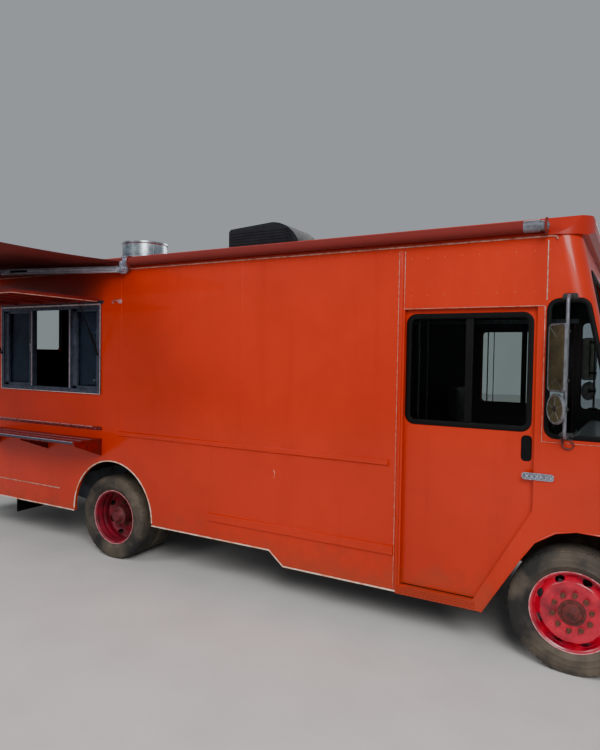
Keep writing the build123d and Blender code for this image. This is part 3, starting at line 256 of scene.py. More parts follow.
# name, main and worn colour, scale of the noise, roughness, metallic, and other settings
for name, colour, worn, scale, roughness, metallic, others in (
    ("rim_paint", (200, 2, 46), (116, 6, 28), 9, 0.32, 0, {"Coat_Weight": 0.4}),
    # pale flange lip: worn paint, and a painted highlight on the rim's edge
    ("rim_lip_wear_and_highlight", (206, 150, 150), (176, 40, 62), 30, 0.5, 0, {}),
    ("rubber", (30, 29, 28), (104, 92, 78), 3.2, 0.8, 0, {}),
    ("gasket", (5, 5, 6), (12, 12, 12), 25, 0.6, 0, {"Specular_IOR_Level": 0.15}),
    ("sealant", (196, 150, 136), (150, 70, 48), 30, 0.6, 0, {}),
    ("sealant_wide", (176, 120, 122), (150, 66, 52), 20, 0.5, 0, {}),
    # pale line: worn paint along the bottom edges, and the painted highlight of a dent's rim
    ("pale_edge_and_dent_highlight", (232, 214, 196), (214, 120, 74), 18, 0.55, 0, {}),
    ("rivet", (190, 100, 72), (176, 60, 30), 60, 0.45, 0, {}),
    ("rust", (124, 78, 62), (74, 46, 38), 90, 0.6, 0.4, {}),
    ("hub_rust", (110, 30, 40), (70, 34, 32), 40, 0.6, 0.2, {}),
    ("rust_red", (110, 44, 44), (58, 40, 32), 40, 0.6, 0.3, {}),
    # hatch paint: a dark copy of the orange, painted shade on the hatch's underside and rim
    ("hatch_paint_shaded", (116, 16, 6), (92, 14, 8), 6, 0.5, 0, {}),
    ("counter_paint", (124, 22, 12), (84, 30, 34), 8, 0.3, 0.35, {}),
    ("anodised", (74, 80, 96), (48, 52, 66), 16, 0.4, 0.6, {}),
    ("pale_line", (196, 176, 176), (150, 110, 110), 40, 0.5, 0, {}),
    ("bracket_steel", (172, 178, 196), (96, 102, 122), 50, 0.4, 0.35, {}),
    ("fan_steel", (190, 200, 206), (120, 132, 142), 9, 0.28, 0.9, {}),
    ("cooler_black", (10, 12, 18), (22, 25, 33), 14, 0.6, 0, {"Specular_IOR_Level": 0.25}),
    ("mirror_tube", (120, 121, 130), (92, 92, 98), 30, 0.35, 0.5, {}),
    ("mirror_shell", (112, 114, 118), (78, 80, 82), 30, 0.4, 0.3, {}),
    ("arm_alloy", (188, 184, 196), (150, 146, 160), 12, 0.45, 0.1, {}),
    ("screen", (44, 54, 80), (32, 40, 62), 5, 0.6, 0, {"bump": 0}),
    # rear rim paint: a darker copy of the rim crimson, painted shade for the rear rims in the arch's shadow
    ("rear_rim_paint_shaded", (136, 6, 36), (70, 20, 26), 9, 0.5, 0, {}),
    # grey-blue inner panel, darkened in places: a splash panel and painted shade under the body
    ("inner_panel_and_shade", (70, 76, 86), (34, 32, 32), 5, 0.7, 0, {}),
    ("mirror_back", (146, 136, 104), (96, 92, 74), 16, 0.4, 0, {}),
    ("mirror_glass", (104, 100, 74), (62, 60, 48), 7, 0.3, 0.5, {"bump": 0}),
    ("amber", (214, 110, 10), (180, 84, 10), 50, 0.25, 0, {"Transmission_Weight": 0.2}),
    ("lens_red", (150, 8, 10), (112, 6, 8), 50, 0.25, 0, {"Transmission_Weight": 0.2}),
    ("reflector", (210, 214, 220), (180, 184, 192), 8, 0.12, 1, {}),
    ("zinc", (150, 154, 160), (110, 112, 116), 30, 0.45, 0.9, {}),
    ("black_plastic", (24, 24, 26), (44, 43, 42), 18, 0.55, 0, {}),
    ("chassis", (42, 36, 32), (92, 62, 42), 7, 0.8, 0.2, {}),
    ("dark_lining", (30, 30, 30), (48, 46, 43), 6, 0.6, 0, {}),
    ("vinyl", (24, 23, 22), (44, 41, 38), 12, 0.5, 0, {}),
    ("fabric_red", (116, 20, 12), (92, 26, 18), 160, 0.9, 0, {}),
):
    MATERIALS[name] = plain(name, colour, worn, scale, roughness, metallic, **others)
MATERIALS["glass"] = glass("glass", (214, 222, 218))
MATERIALS["glass_blue"] = glass("glass_blue", (206, 214, 216))

# each CAD node's look, by the start of its name; the first that fits counts, and the rest are chassis
LOOKS = {
    "door_glass": "glass",
    "rear_door_glass": "glass",
    "fixed_glass": "glass_blue",
    "door_tracks": "zinc",
    "roof_fan": "fan_steel",
    "roof": "roof_paint",
    "awning_cases": "fabric_red",
    "awning_arms": "arm_alloy",
    "window_frame": "anodised",
    # the hatch takes the dark hatch paint, painted shade
    "hatch": "hatch_paint_shaded",
    "counter": "counter_paint",
    "strut_": "gasket",
    "air_conditioner": "cooler_black",
    "mud_flaps": "gasket",
    "grille": "zinc",
    "floor": "dark_lining",
    "dashboard": "dark_lining",
    "engine_cover": "dark_lining",
    **dict.fromkeys(
        ("body_side_", "cab_side_", "door_", "nose", "windscreen_frame", "hood", "rear_wall", "rear_door"),
        "body_paint",
    ),
}


def dress_nodes():
    """Gives each CAD node that stays in view its look."""
    for name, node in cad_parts.items():
        look = next((material for start, material in LOOKS.items() if name.startswith(start)), "chassis")
        node.data.materials.clear()
        node.data.materials.append(MATERIALS[look])


# Shapes


def circle(count, offset=0):
    """Angles evenly round a circle, offset as a share of their step."""
    return [tau * (k + offset) / count for k in range(count)]


def head(radius, rise):
    """A rivet's or bolt head's profile."""
    return ((radius, 0), (radius * 0.75, rise * 0.75), (0, rise))


class Form:
    """A mesh put together from simple shapes in metres in the row frame, then handed to a body."""

    def __init__(self, name):
        self.name = name
        self.mesh = bmesh.new()

    def grid(self, rows, closed_rows=False, closed_columns=False):
        """Faces between rows of points, all rows equally long."""
        verts = [[self.mesh.verts.new(point) for point in row] for row in rows]
        row_count, column_count = len(rows), len(rows[0])
        for i in range(row_count if closed_rows else row_count - 1):
            for j in range(column_count if closed_columns else column_count - 1):
                near, far = verts[i], verts[(i + 1) % row_count]
                k = (j + 1) % column_count
                self.mesh.faces.new((near[j], near[k], far[k], far[j]))
        return verts

    def capped(self, rows):
        """Faces between rings of points, with both ends closed."""
        verts = self.grid(rows, closed_columns=True)
        self.mesh.faces.new(verts[0])
        self.mesh.faces.new(verts[-1][::-1])

    def box(self, low, high, bevel, steps=2):
        low, high = Vector(low), Vector(high)
        place = Matrix.Translation((low + high) / 2) @ Matrix.Diagonal((*(high - low), 1))
        made = bmesh.ops.create_cube(self.mesh, size=1, matrix=place)
        edges = list(dict.fromkeys(edge for vert in made["verts"] for edge in vert.link_edges))
        bmesh.ops.bevel(self.mesh, geom=edges, offset=bevel, segments=steps, profile=0.6, affect="EDGES")

    def side_box(self, side, x0, x1, inner, outer, z0, z1, bevel):
        """A box on a side wall, inner and outer measured out from the wall."""
        y0, y1 = sorted((side * (BODY_HALF + inner), side * (BODY_HALF + outer)))
        self.box((x0, y0, z0), (x1, y1, z1), bevel)

    def turned(self, profile, at, axis, steps=32):
        """profile: (radius, distance along the axis) in order; a radius of 0 closes the end."""
        turn = Vector(axis).to_track_quat("Z", "Y").to_matrix()
        rows = [
            [Vector(at) + turn @ Vector((radius * cos(a), radius * sin(a), along)) for radius, along in profile]
            for a in circle(steps)
        ]
        self.grid(rows, closed_rows=True)

    def tube(self, points, radius, sides=8, closed=False, flat=1.0, across=UP):
        """A round or flattened tube along points; flat is its thickness across, over its width."""
        points = [Vector(p) for p in points]
        count = len(points)
        rows = []
        for i, point in enumerate(points):
            before = points[i - 1] if i or closed else point
            after = points[(i + 1) % count] if i < count - 1 or closed else point
            ahead = (after - before).normalized()
            side = ahead.cross(Vector(across))
            side = side.normalized() if side.length > 1e-4 else ahead.orthogonal().normalized()
            other = side.cross(ahead)
            rows.append([point + side * radius * cos(a) + other * radius * flat * sin(a) for a in circle(sides)])
        if closed:
            self.grid(rows, closed_rows=True, closed_columns=True)
        else:
            self.capped(rows)

    def dome(self, at, out, radius, rise, sides=7):
        """A rivet, screw or bolt head."""
        self.turned(head(radius, rise), at, out, sides)

    def domes(self, first, step, count, out, radius, rise, sides=7):
        """A row of heads, each a step on from the one before."""
        for i in range(count):
            self.dome([a + i * b for a, b in zip(first, step)], out, radius, rise, sides)

    def plate(self, outline, out, thick):
        """A flat plate with that outline of points, as thick as said along out."""
        push = Vector(out).normalized() * thick
        near = [self.mesh.verts.new(point) for point in outline]
        far = [self.mesh.verts.new(Vector(point) + push) for point in outline]
        self.mesh.faces.new(near[::-1])
        self.mesh.faces.new(far)
        for i in range(len(near)):
            j = (i + 1) % len(near)
            self.mesh.faces.new((near[i], near[j], far[j], far[i]))

    def done(self, material, body="truck", sharp=35):
        bmesh.ops.remove_doubles(self.mesh, verts=self.mesh.verts, dist=1e-6)
        bmesh.ops.recalc_face_normals(self.mesh, faces=self.mesh.faces)
        data = bpy.data.meshes.new(self.name)
        self.mesh.to_mesh(data)
        self.mesh.free()
        data.shade_smooth()
        data.set_sharp_from_angle(angle=radians(sharp))
        piece = bpy.data.objects.new(self.name, data)
        bpy.context.scene.collection.objects.link(piece)
        data.materials.append(MATERIALS[material])
        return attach(piece, body)


def rounded(corners, radius, steps=5):
    """A closed outline in two dimensions with its corners rounded off."""
    points = []
    for i, corner in enumerate(corners):
        here = Vector(corner)
        back = (Vector(corners[i - 1]) - here).normalized()
        on = (Vector(corners[(i + 1) % len(corners)]) - here).normalized()
        half = back.angle(on) / 2
        reach = radius / tan(half)
        middle = here + (back + on).normalized() * radius / sin(half)
        first, last = here + back * reach - middle, here + on * reach - middle
        turn = first.angle(last)
        for k in range(steps + 1):
            share = k / steps
            points.append(middle + (first * sin((1 - share) * turn) + last * sin(share * turn)) / sin(turn))
    return points


def rectangle(x0, x1, z0, z1):
    """A rectangle's corners, anticlockwise."""
    return [(x0, z0), (x1, z0), (x1, z1), (x0, z1)]


def grown(points, amount):
    """An outline given anticlockwise, moved outwards by an amount."""
    moved = []
    for i, point in enumerate(points):
        along = (Vector(points[(i + 1) % len(points)]) - Vector(points[i - 1])).normalized()
        moved.append(Vector(point) + Vector((along.y, -along.x)) * amount)
    return moved


def on_side(points, side, out=0):
    """Points given as X and Z, put on the right (-1) or left (1) wall, that far out from it."""
    return [(x, side * (BODY_HALF + out), z) for x, z in points]


def beside(side, out=0):
    """The place on a side wall of an outline's point u, v that stands h out, for seal."""
    return lambda u, v, h: (u, side * (BODY_HALF + out + h), v)


def seal(form, outline, place, section):
    """A rubber ring along an outline; section gives (growth, height) and place puts u, v, height."""
    rows = [[place(u, v, height) for u, v in grown(outline, growth)] for growth, height in section]
    form.grid(rows, closed_rows=True, closed_columns=True)


# Body trim


def body_trim():
    """Sealed seams, rivets, post strip, drip rail, sills and the pale worn edge along the bottom."""
    beads, edges, strips, rivets = (Form(name) for name in ("sealed_seams", "pale_edges_and_dent_highlight", "post_strips", "rivets"))
    # runs of sealant, as X and Z along the wall
    seams = (
        ((-1.147, 2.771), (-1.147, 2.362), (-0.209, 2.362)),
        ((-0.206, 2.358), (-0.206, 1.49), (0.255, 1.49)),
        ((-0.197, 2.777), (-0.197, 2.398)),
    )
    arch = [(ARCH_X + ARCH_RADIUS * cos(radians(a)), ARCH_Z + ARCH_RADIUS * sin(radians(a))) for a in range(0, 181, 6)]
    lower_edges = (
        ((REAR_X, SKIRT_Z), (ARCH_X - ARCH_RADIUS, SKIRT_Z)),
        arch[::-1],
        ((ARCH_X + ARCH_RADIUS, SKIRT_Z), (-2.265, SKIRT_Z), (-2.129, LOW_SKIRT_Z), (POST_X, LOW_SKIRT_Z)),
    )
    front_arch = (
        (-0.56, 0.299), (-0.54, 0.334), (-0.315, 0.71), (-0.231, 0.832), (-0.107, 0.912), (0.014, 0.94),
        (0.147, 0.935), (0.29, 0.89), (0.41, 0.79), (0.48, 0.64), (0.5, 0.48),
    )
    # the drip rail's front end curls down
    curl = ((REAR_X + 0.01, 0.004), (-0.175, 0.004), (-0.15, 0.012), (-0.143, 0.028))
    rail = [(x, DRIP_Z - drop) for x, drop in curl]
    # the post strip's two ridges and its web: ends along X, thickness, bevel
    strip = ((-1.188, -1.182, 0.007, 0.003), (-1.17, -1.16, 0.007, 0.003), (-1.186, -1.16, 0.003, 0.001))
    for _, side in SIDES:
        wall, out = side * BODY_HALF, (0, side, 0)
        for run in seams:
            beads.tube(on_side(run, side, 0.001), 0.0045, 6, flat=0.6)
        for run in lower_edges:
            edges.tube(on_side(run, side, 0.001), 0.006, 6)
        strips.tube(on_side(front_arch, side, 0.001), 0.006, 6)
        beads.tube(on_side(rail, side, 0.004), 0.007, 6)
        for x0, x1, thick, bevel in strip:
            strips.side_box(side, x0, x1, 0, thick, 0.325, DRIP_Z - 0.03, bevel)
        beads.tube(on_side(((-1.191, 0.335), (-1.191, DRIP_Z - 0.035)), side, 0.001), 0.003, 5, flat=0.6)
        rivets.domes((-1.197, wall, 0.4), (0, 0, 0.0885), 27, out, 0.0045, 0.0025)
        for z in (2.715, 2.455):
            rivets.domes((-1.1, wall, z), (0.118, 0, 0), 8, out, 0.004, 0.002)
        rivets.domes((-0.185, wall, 1.53), (0, 0, 0.066), 19, out, 0.0035, 0.002)
        rivets.domes((REAR_X + 0.06, wall, 2.775), (0.096, 0, 0), 58, out, 0.0035, 0.002)
        for x in (-2.56, -3.95, -5.84):
            strips.tube(on_side(((x, 1.3), (x, 2.78)), side), 0.002, 5, flat=0.5)
        # ridged sills under the doorways
        for i in range(4):
            z = 0.306 + i * 0.016
            strips.side_box(side, -1.16, -0.6, 0, 0.005, z, z + 0.008, 0.003)
    # the thin trim low on the galley's right wall, and a pale crescent: a painted highlight along a dent's rim
    beads.side_box(-1, -5.795, -4.8, 0, 0.007, 0.618, 0.628, 0.002)
    crescent_highlight = [(-2.236 + 0.016 * cos(a), 1.055 + 0.034 * sin(a)) for a in (1.2, 0.7, 0.2, -0.3, -0.8, -1.3)]
    edges.tube(on_side(crescent_highlight, -1, 0.0002), 0.0028, 6, flat=0.5)
    beads.done("sealant")
    # the pale edges, with the dent's painted highlight
    edges.done("pale_edge_and_dent_highlight")
    strips.done("trim_paint")
    rivets.done("rivet")


def on_screen(y, v, h):
    """A point of the windscreen: across, up its slope, and out from it."""
    return SCREEN_FOOT + Vector((0, y, 0)) + SCREEN_UP * v + SCREEN_OUT * h


def gaskets():
    """Black rubber round every pane, and the door windows' sliding sashes."""
    # sections of rubber: growth of the outline, height over the panel
    lip = ((-0.018, -0.002), (-0.016, 0.006), (-0.006, 0.01))
    proud = (*lip, (0.012, 0.009), (0.02, 0.005), (0.022, 0), (0, -0.006))
    narrow = (*lip, (0.006, 0.009), (0.012, 0.005), (0.014, 0), (0, -0.006))
    sash = ((-0.018, -0.0155), (-0.016, 0), (-0.01, 0.0022), (0.016, 0.0026), (0.02, 0.001), (0.02, -0.003))
    flat = ((-0.008, -0.002), (-0.006, 0.002), (0, 0.003), (0.003, 0), (0, -0.002))
    # the sashes' uprights: place, half width, and how far in their faces are
    uprights = ((-0.705, 0.013, 0.008), (-0.68, 0.013, 0.008), (-1.05, 0.006, 0.019), (-0.99, 0.004, 0.019))
    quarter = rounded(((-0.183, 1.527), (0.228, 1.527), (0.041, 2.394), (-0.183, 2.394)), 0.06)
    cab = Form("quarter_gaskets")
    for _, side in SIDES:
        seal(cab, quarter, beside(side), narrow)
    cab.done("gasket")
    screen = Form("windscreen_gaskets")
    for _, side in SIDES:
        seal(screen, rounded(rectangle(*sorted((side * 0.07, side * 0.97)), 0.105, 1.121), 0.07), on_screen, proud)
    screen.done("gasket")
    for label, side in SIDES:
        door = Form(f"door_gasket_{label}")
        seal(door, rounded(rectangle(-1.121, -0.2945, 1.559, 2.309), 0.05), beside(side, DOOR_OUT), sash)
        for x, half, depth in uprights:
            door.side_box(side, x - half, x + half, DOOR_OUT - 0.026, DOOR_OUT - depth, 1.565, 2.303, 0.002)
        seal(door, rounded(rectangle(-0.334, -0.272, 1.351, 1.516), 0.024), beside(side, DOOR_OUT), flat)
        pull = rounded(rectangle(-0.33, -0.276, 1.355, 1.512), 0.022)
        door.plate(on_side(pull, side, DOOR_OUT - 0.001), (0, side, 0), 0.0015)
        door.side_box(side, -0.322, -0.284, DOOR_OUT - 0.001, DOOR_OUT + 0.0025, 1.418, 1.44, 0.001)
        door.done("gasket", f"door_{label}")
    back = Form("rear_door_gasket")
    seal(back, rounded(rectangle(-0.34, 0.34, 2.03, 2.65), 0.05), lambda u, v, h: (REAR_X - 0.004 - h, u, v), proud)
    back.done("gasket", "rear_door")


def hasps():
    """Pressed steel hasps across the cab doors' front edges, fixed to the cab."""
    plates, ribs = Form("hasp_plates"), Form("hasps")
    outline = rounded(rectangle(-0.321, -0.125, 1.238, 1.284), 0.02)
    for _, side in SIDES:
        plates.plate(on_side(outline, side, 0.003), (0, side, 0), 0.005)
        ribs.tube(on_side(grown(outline, -0.003), side, 0.008), 0.0026, 6, closed=True, across=LEFT)
        for i in range(6):
            x = -0.3 + i * 0.03
            for z0, z1 in ((1.246, 1.276), (1.276, 1.246)):
                ribs.tube(on_side(((x, z0), (x + 0.024, z1)), side, 0.008), 0.0028, 5)
        for x in (-0.145, -0.205):
            ribs.dome((x, side * (BODY_HALF + 0.008), 1.261), (0, side, 0), 0.006, 0.004)
    plates.done("mirror_shell")
    ribs.done("bracket_steel")


# Service window, hatch, counter


def service_window():
    """Sliding sashes with wide stiles, screen tracks, a pale bead round the frame, latch and screws."""
    face = -(BODY_HALF - 0.005)
    bottom, top = 1.655, 2.446
    sash = Form("window_sashes")
    # each sash's ends, and its left and right stiles' widths
    for x0, x1, left, right in ((-5.7, -5.266, 0.078, 0.02), (-4.633, -4.266, 0.086, 0.016)):
        for a, b, z0, z1 in (
            (x0, x1, bottom, bottom + 0.03),
            (x0, x1, top - 0.026, top),
            (x0, x0 + left, bottom, top),
            (x1 - right, x1, bottom, top),
        ):
            sash.box((a, face - 0.012, z0), (b, face + 0.012, z1), 0.003)
        # a raised lip down each stile
        for x in (x0 + 0.018, x0 + left - 0.006, x1 - 0.004):
            sash.box((x - 0.003, face - 0.017, bottom + 0.01), (x + 0.003, face - 0.01, top - 0.01), 0.001)
    for z in (bottom - 0.002, top + 0.002):
        for y in (face - 0.006, face + 0.014):
            sash.box((-5.705, y - 0.002, z - 0.005), (-4.265, y + 0.002, z + 0.005), 0.001)
    sash.done("anodised")
    screens = Form("window_screens")
    for x0, x1 in ((-5.625, -5.284), (-4.55, -4.28)):
        screens.box((x0, face + 0.018, bottom + 0.02), (x1, face + 0.021, top - 0.02), 0.001)
    screens.done("screen")
    bead = Form("window_beads")
    front = -(BODY_HALF + 0.012)
    for x0, x1, z0, z1 in (
        (-5.751, -5.744, 1.609, 2.492),
        (-4.226, -4.219, 1.609, 2.492),
        (-5.751, -4.219, 1.609, 1.616),
        (-5.751, -4.219, 2.478, 2.492),
        (-5.244, -5.238, 1.66, 2.44),
        (-4.656, -4.651, 1.66, 2.44),
    ):
        bead.box((x0, front - 0.003, z0), (x1, front + 0.001, z1), 0.001)
    bead.done("pale_line")
    latch = Form("window_latch")
    latch.box((-5.262, face - 0.026, 2.02), (-5.24, face - 0.01, 2.1), 0.004)
    latch.dome((-4.3, face - 0.012, 1.745), RIGHT, 0.01, 0.012, 10)
    latch.done("zinc")
    screws = Form("window_screws")
    for i in range(9):
        for z in (1.632, 2.47):
            screws.dome((-5.72 + i * 0.1835, front, z), RIGHT, 0.0045, 0.0025)
    screws.done("rivet")


def hatch_trim():
    """The hatch's thin worn edge, its folded rim, and stiffening ribs under its skin."""
    low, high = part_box("hatch")
    z0, z1 = HATCH_AXIS_Z - 0.015, HATCH_AXIS_Z + 0.015
    rim = Form("hatch_rim")
    rim.box((low.x - 0.003, low.y - 0.003, z0), (high.x + 0.003, low.y + 0.012, z1 + 0.002), 0.004)
    for x in (low.x, high.x - 0.014):
        rim.box((x - 0.002, low.y, z0), (x + 0.016, high.y - 0.02, z1 + 0.002), 0.004)
    for i in range(1, 4):
        x = low.x + (high.x - low.x) * i / 4 + 0.06
        rim.box((x - 0.012, low.y + 0.03, z0 + 0.012), (x + 0.012, high.y - 0.05, z1 - 0.004), 0.004)
    # the rim and ribs take the dark hatch paint: painted shade
    rim.done("hatch_paint_shaded", "hatch")
    line = Form("hatch_edging")
    for x in (low.x - 0.001, high.x - 0.003):
        line.box((x - 0.003, low.y, z0 - 0.001), (x + 0.007, high.y - 0.02, z0 + 0.006), 0.002)
    line.box((low.x, low.y - 0.004, z0 - 0.001), (high.x, low.y + 0.004, z0 + 0.006), 0.002)
    line.done("sealant", "hatch")


def counter_trim():
    """Grey metal along the shelf's front edge, the wall trim over it with a pale bead along its top as a painted
    highlight, and screws.
    """
    low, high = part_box("counter")
    z = COUNTER_Z
    metal = Form("counter_edge")
    metal.box((low.x - 0.002, low.y - 0.002, z - 0.02), (high.x - 0.02, low.y + 0.012, z + 0.002), 0.004)
    metal.done("anodised")
    lip = Form("counter_lip")
    lip.box((low.x - 0.004, low.y - 0.004, z - 0.002), (high.x - 0.02, low.y + 0.002, z + 0.003), 0.001)
    for y in (low.y + 0.11, low.y + 0.22):
        lip.box((low.x + 0.01, y - 0.0015, z - 0.001), (high.x - 0.03, y + 0.0015, z + 0.0015), 0.0005)
    lip.done("bracket_steel")
    trim = Form("counter_wall_trim")
    trim.side_box(-1, low.x, high.x, 0, 0.01, 1.262, 1.294, 0.004)
    trim.done("counter_paint")
    # a pale strip on the trim's top edge: painted highlight; the screws sit on it
    bead = Form("counter_wall_highlight_bead")
    bead.side_box(-1, low.x, high.x - 0.12, 0.006, 0.013, 1.284, 1.295, 0.003)
    bead.domes((low.x + 0.08, -(BODY_HALF + 0.01), 1.272), (0.13, 0, 0), 12, RIGHT, 0.005, 0.003)
    bead.done("sealant_wide")


# Awnings


def awning():
    """The open awning's cloth, stretched between its roller and front bar with a slight sag."""
    low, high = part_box("awning_fabric")
    width, drop = high.x - low.x, 0.026
    columns, rows = 56, 28
    form = Form("awning_cloth")
    lines = []
    for i in range(columns + 1):
        u = i / columns
        line = []
        for j in range(rows + 1):
            v = j / rows
            sag = 0.012 * sin(pi * v) * (0.7 + 0.3 * cos(2 * pi * u * 2))
            ripple = 0.0025 * sin(u * 41) * sin(pi * v)
            line.append((low.x + width * u, high.y + (low.y - high.y) * v, high.z - 0.003 - drop * v - sag + ripple))
        lines.append(line)
    form.grid(lines)
    cloth = form.done("fabric_red")
    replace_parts(cloth, "awning_fabric")


def awning_hardware():
    """Arm profiles with their slots, shoulder castings, end plates, and the other awning's tube end."""
    profiles, slots, castings = (Form(f"awning_{part}") for part in ("arm_profiles", "arm_slots", "castings"))
    up = Vector(UP)
    section = ((-0.022, -0.03), (0.022, -0.03), (0.027, -0.022), (0.027, 0.02), (0.02, 0.027), (-0.022, 0.027))
    drum = ((0, -0.04), (0.03, -0.04), (0.033, -0.034), (0.033, 0.03), (0.028, 0.034), (0, 0.034))
    knuckle = ((0, -0.032), (0.026, -0.032), (0.029, -0.026), (0.029, 0.022), (0.024, 0.028), (0, 0.028))
    for shoulder_x, elbow_x in ((-3.882, -5.192), (-6.62, -5.51)):
        shoulder, elbow = Vector((shoulder_x, -1.218, 2.798)), Vector((elbow_x, -1.528, 2.798))
        ahead = (elbow - shoulder).normalized()
        out = up.cross(ahead)
        out = out if out.y < 0 else -out
        first, last = shoulder + ahead * 0.045, elbow - ahead * 0.03
        profiles.capped([[at + out * u + up * v for u, v in section] for at in (first, last)])
        # grooves along the profile, and the dark slot near its elbow
        for v in (-0.014, 0.012):
            slots.tube([at + out * 0.0272 + up * v for at in (first, last)], 0.0016, 5)
        a, b = (first + ahead * (last - first).length * share for share in (0.79, 0.95))
        slot = [at + out * 0.0265 + up * v for at, v in ((a, -0.01), (b, -0.01), (b, 0.01), (a, 0.01))]
        slots.plate(slot, out, 0.0025)
        # shoulder: a forked casting with its pin, and three bolts
        castings.turned(drum, shoulder, UP, 20)
        castings.box(shoulder + Vector((-0.055, -0.03, -0.033)), shoulder + Vector((0.034, 0.022, -0.022)), 0.004)
        for k in range(3):
            at = shoulder + ahead * (0.05 + 0.022 * k) + out * 0.028 + up * (0.01 - 0.01 * k)
            castings.dome(at, out, 0.007, 0.006, 8)
        castings.turned(knuckle, elbow, UP, 18)
    for x, way in ((-3.842, 1), (-6.66, -1)):
        for y, z, r in ((-1.234, 2.862, 0.03), (-1.222, 2.8, 0.012), (-1.256, 2.8, 0.012), (-1.24, 2.905, 0.008)):
            castings.turned(((0, 0), (r, 0), (r, 0.006), (r * 0.7, 0.01), (0, 0.011)), (x, y, z), (way, 0, 0), 14)
        castings.box((x - 0.009, -1.276, 2.77), (x + 0.001, -1.192, 2.9), 0.004)
        castings.box((x - 0.03, -1.28, 2.775), (x + 0.002, -1.266, 2.86), 0.004)
    profiles.done("arm_alloy")
    slots.done("cooler_black")
    castings.done("bracket_steel")
    # the rolled awning's tube end and bracket, over the cab
    end = Form("awning_tube_end")
    y, z = -1.2265, 2.86
    for profile, steps in (
        (((0.0382, -0.34), (0.0388, -0.338), (0.0388, -0.24), (0.0325, -0.2395)), 24),
        (((0.0325, -0.24), (0.0325, -0.214), (0, -0.213)), 24),
        (((0, -0.2), (0.03, -0.2), (0.03, -0.196), (0.016, -0.194), (0.016, -0.188), (0, -0.187)), 20),
    ):
        end.turned(profile, (0, y, z), AHEAD, steps)
    for a in circle(4, 0.5):
        end.dome((-0.198, y + 0.026 * cos(a), z + 0.026 * sin(a)), AHEAD, 0.005, 0.005)
    end.done("mirror_tube")
    # a round reflector and its bracket on the wall beside the hatch
    lamp = Form("wall_reflector")
    wall = -BODY_HALF
    reflector = ((0.024, 0), (0.024, 0.01), (0.02, 0.014), (0.018, 0.011), (0, 0.013))
    lamp.turned(reflector, (-3.964, wall, 2.502), RIGHT, 20)
    lamp.tube([(-3.988, wall - 0.004, 2.51), (-4.03, wall - 0.01, 2.516), (-4.062, wall - 0.004, 2.5)], 0.008, 8)
    lamp.dome((-4.062, wall, 2.498), RIGHT, 0.016, 0.01, 12)
    lamp.done("sealant_wide")


# On the roof


def roof_gear():
    """The fan's rolled rim, seams, bands and bolts; the air conditioner's ribs and louvres."""
    fan = Form("fan_trim")
    centre = (FAN_X, 0, 0)
    rim = (
        (0.258, 3.268), (0.263, 3.274), (0.266, 3.284), (0.265, 3.294), (0.258, 3.2975), (0.244, 3.2978),
        (0.238, 3.29), (0.1, 3.286), (0, 3.285),
    )
    fan.turned(rim, centre, UP, 64)
    for z in (3.03, 3.15):
        band = ((0.2575, z - 0.006), (0.261, z - 0.003), (0.261, z + 0.003), (0.2575, z + 0.006))
        fan.turned(band, centre, UP, 64)
    for a in circle(8):
        c, s = cos(a + 0.35), sin(a + 0.35)
        fan.tube([(FAN_X + 0.258 * c, 0.258 * s, z) for z in (3.024, 3.27)], 0.0028, 5)
        fan.dome((FAN_X + 0.2585 * c, 0.2585 * s, 3.045), (c, s, 0), 0.006, 0.004)
    fan.turned(((0.262, 2.964), (0.262, 2.97), (0.244, 2.974), (0.24, 3.02)), centre, UP, 48)
    fan.done("fan_steel")
    cooler = Form("cooler_ribs")
    for i in range(9):
        z = 3 + i * 0.027
        for y in (-0.38, 0.14):
            # their front ends follow the slope of the casing
            cooler.tube([(-3.27, y, z), (-2.5 - 0.62 * max(z - 3.05, 0), y, z)], 0.0038, 6)
    for i in range(14):
        x = -3.25 + i * 0.034
        rise = 0.03 * (x + 3.29) / 0.486
        cooler.box((x, -0.33, 3.262 + rise), (x + 0.014, 0.09, 3.272 + rise), 0.003)
    for i in range(10):
        z = 3 + i * 0.024
        cooler.box((-3.2945, -0.3, z), (-3.288, 0.06, z + 0.01), 0.002)
    cooler.turned(((0, 0), (0.009, 0), (0.009, 0.002), (0, 0.003)), (-3, -0.38, 3.1), RIGHT, 10)
    cooler.done("cooler_black")


# Mirrors


def tall_head(inset):
    """The tall mirror's outline, moved inwards by an inset."""
    w, h = 0.095 - inset, 0.21 - inset
    return rounded(rectangle(-w, w, -h, h), max(0.03 - inset * 0.5, 0.008))


def round_head(inset):
    """The round mirror's outline, moved inwards by an inset."""
    r = 0.095 - inset
    return [(r * cos(a), r * sin(a)) for a in circle(36)]


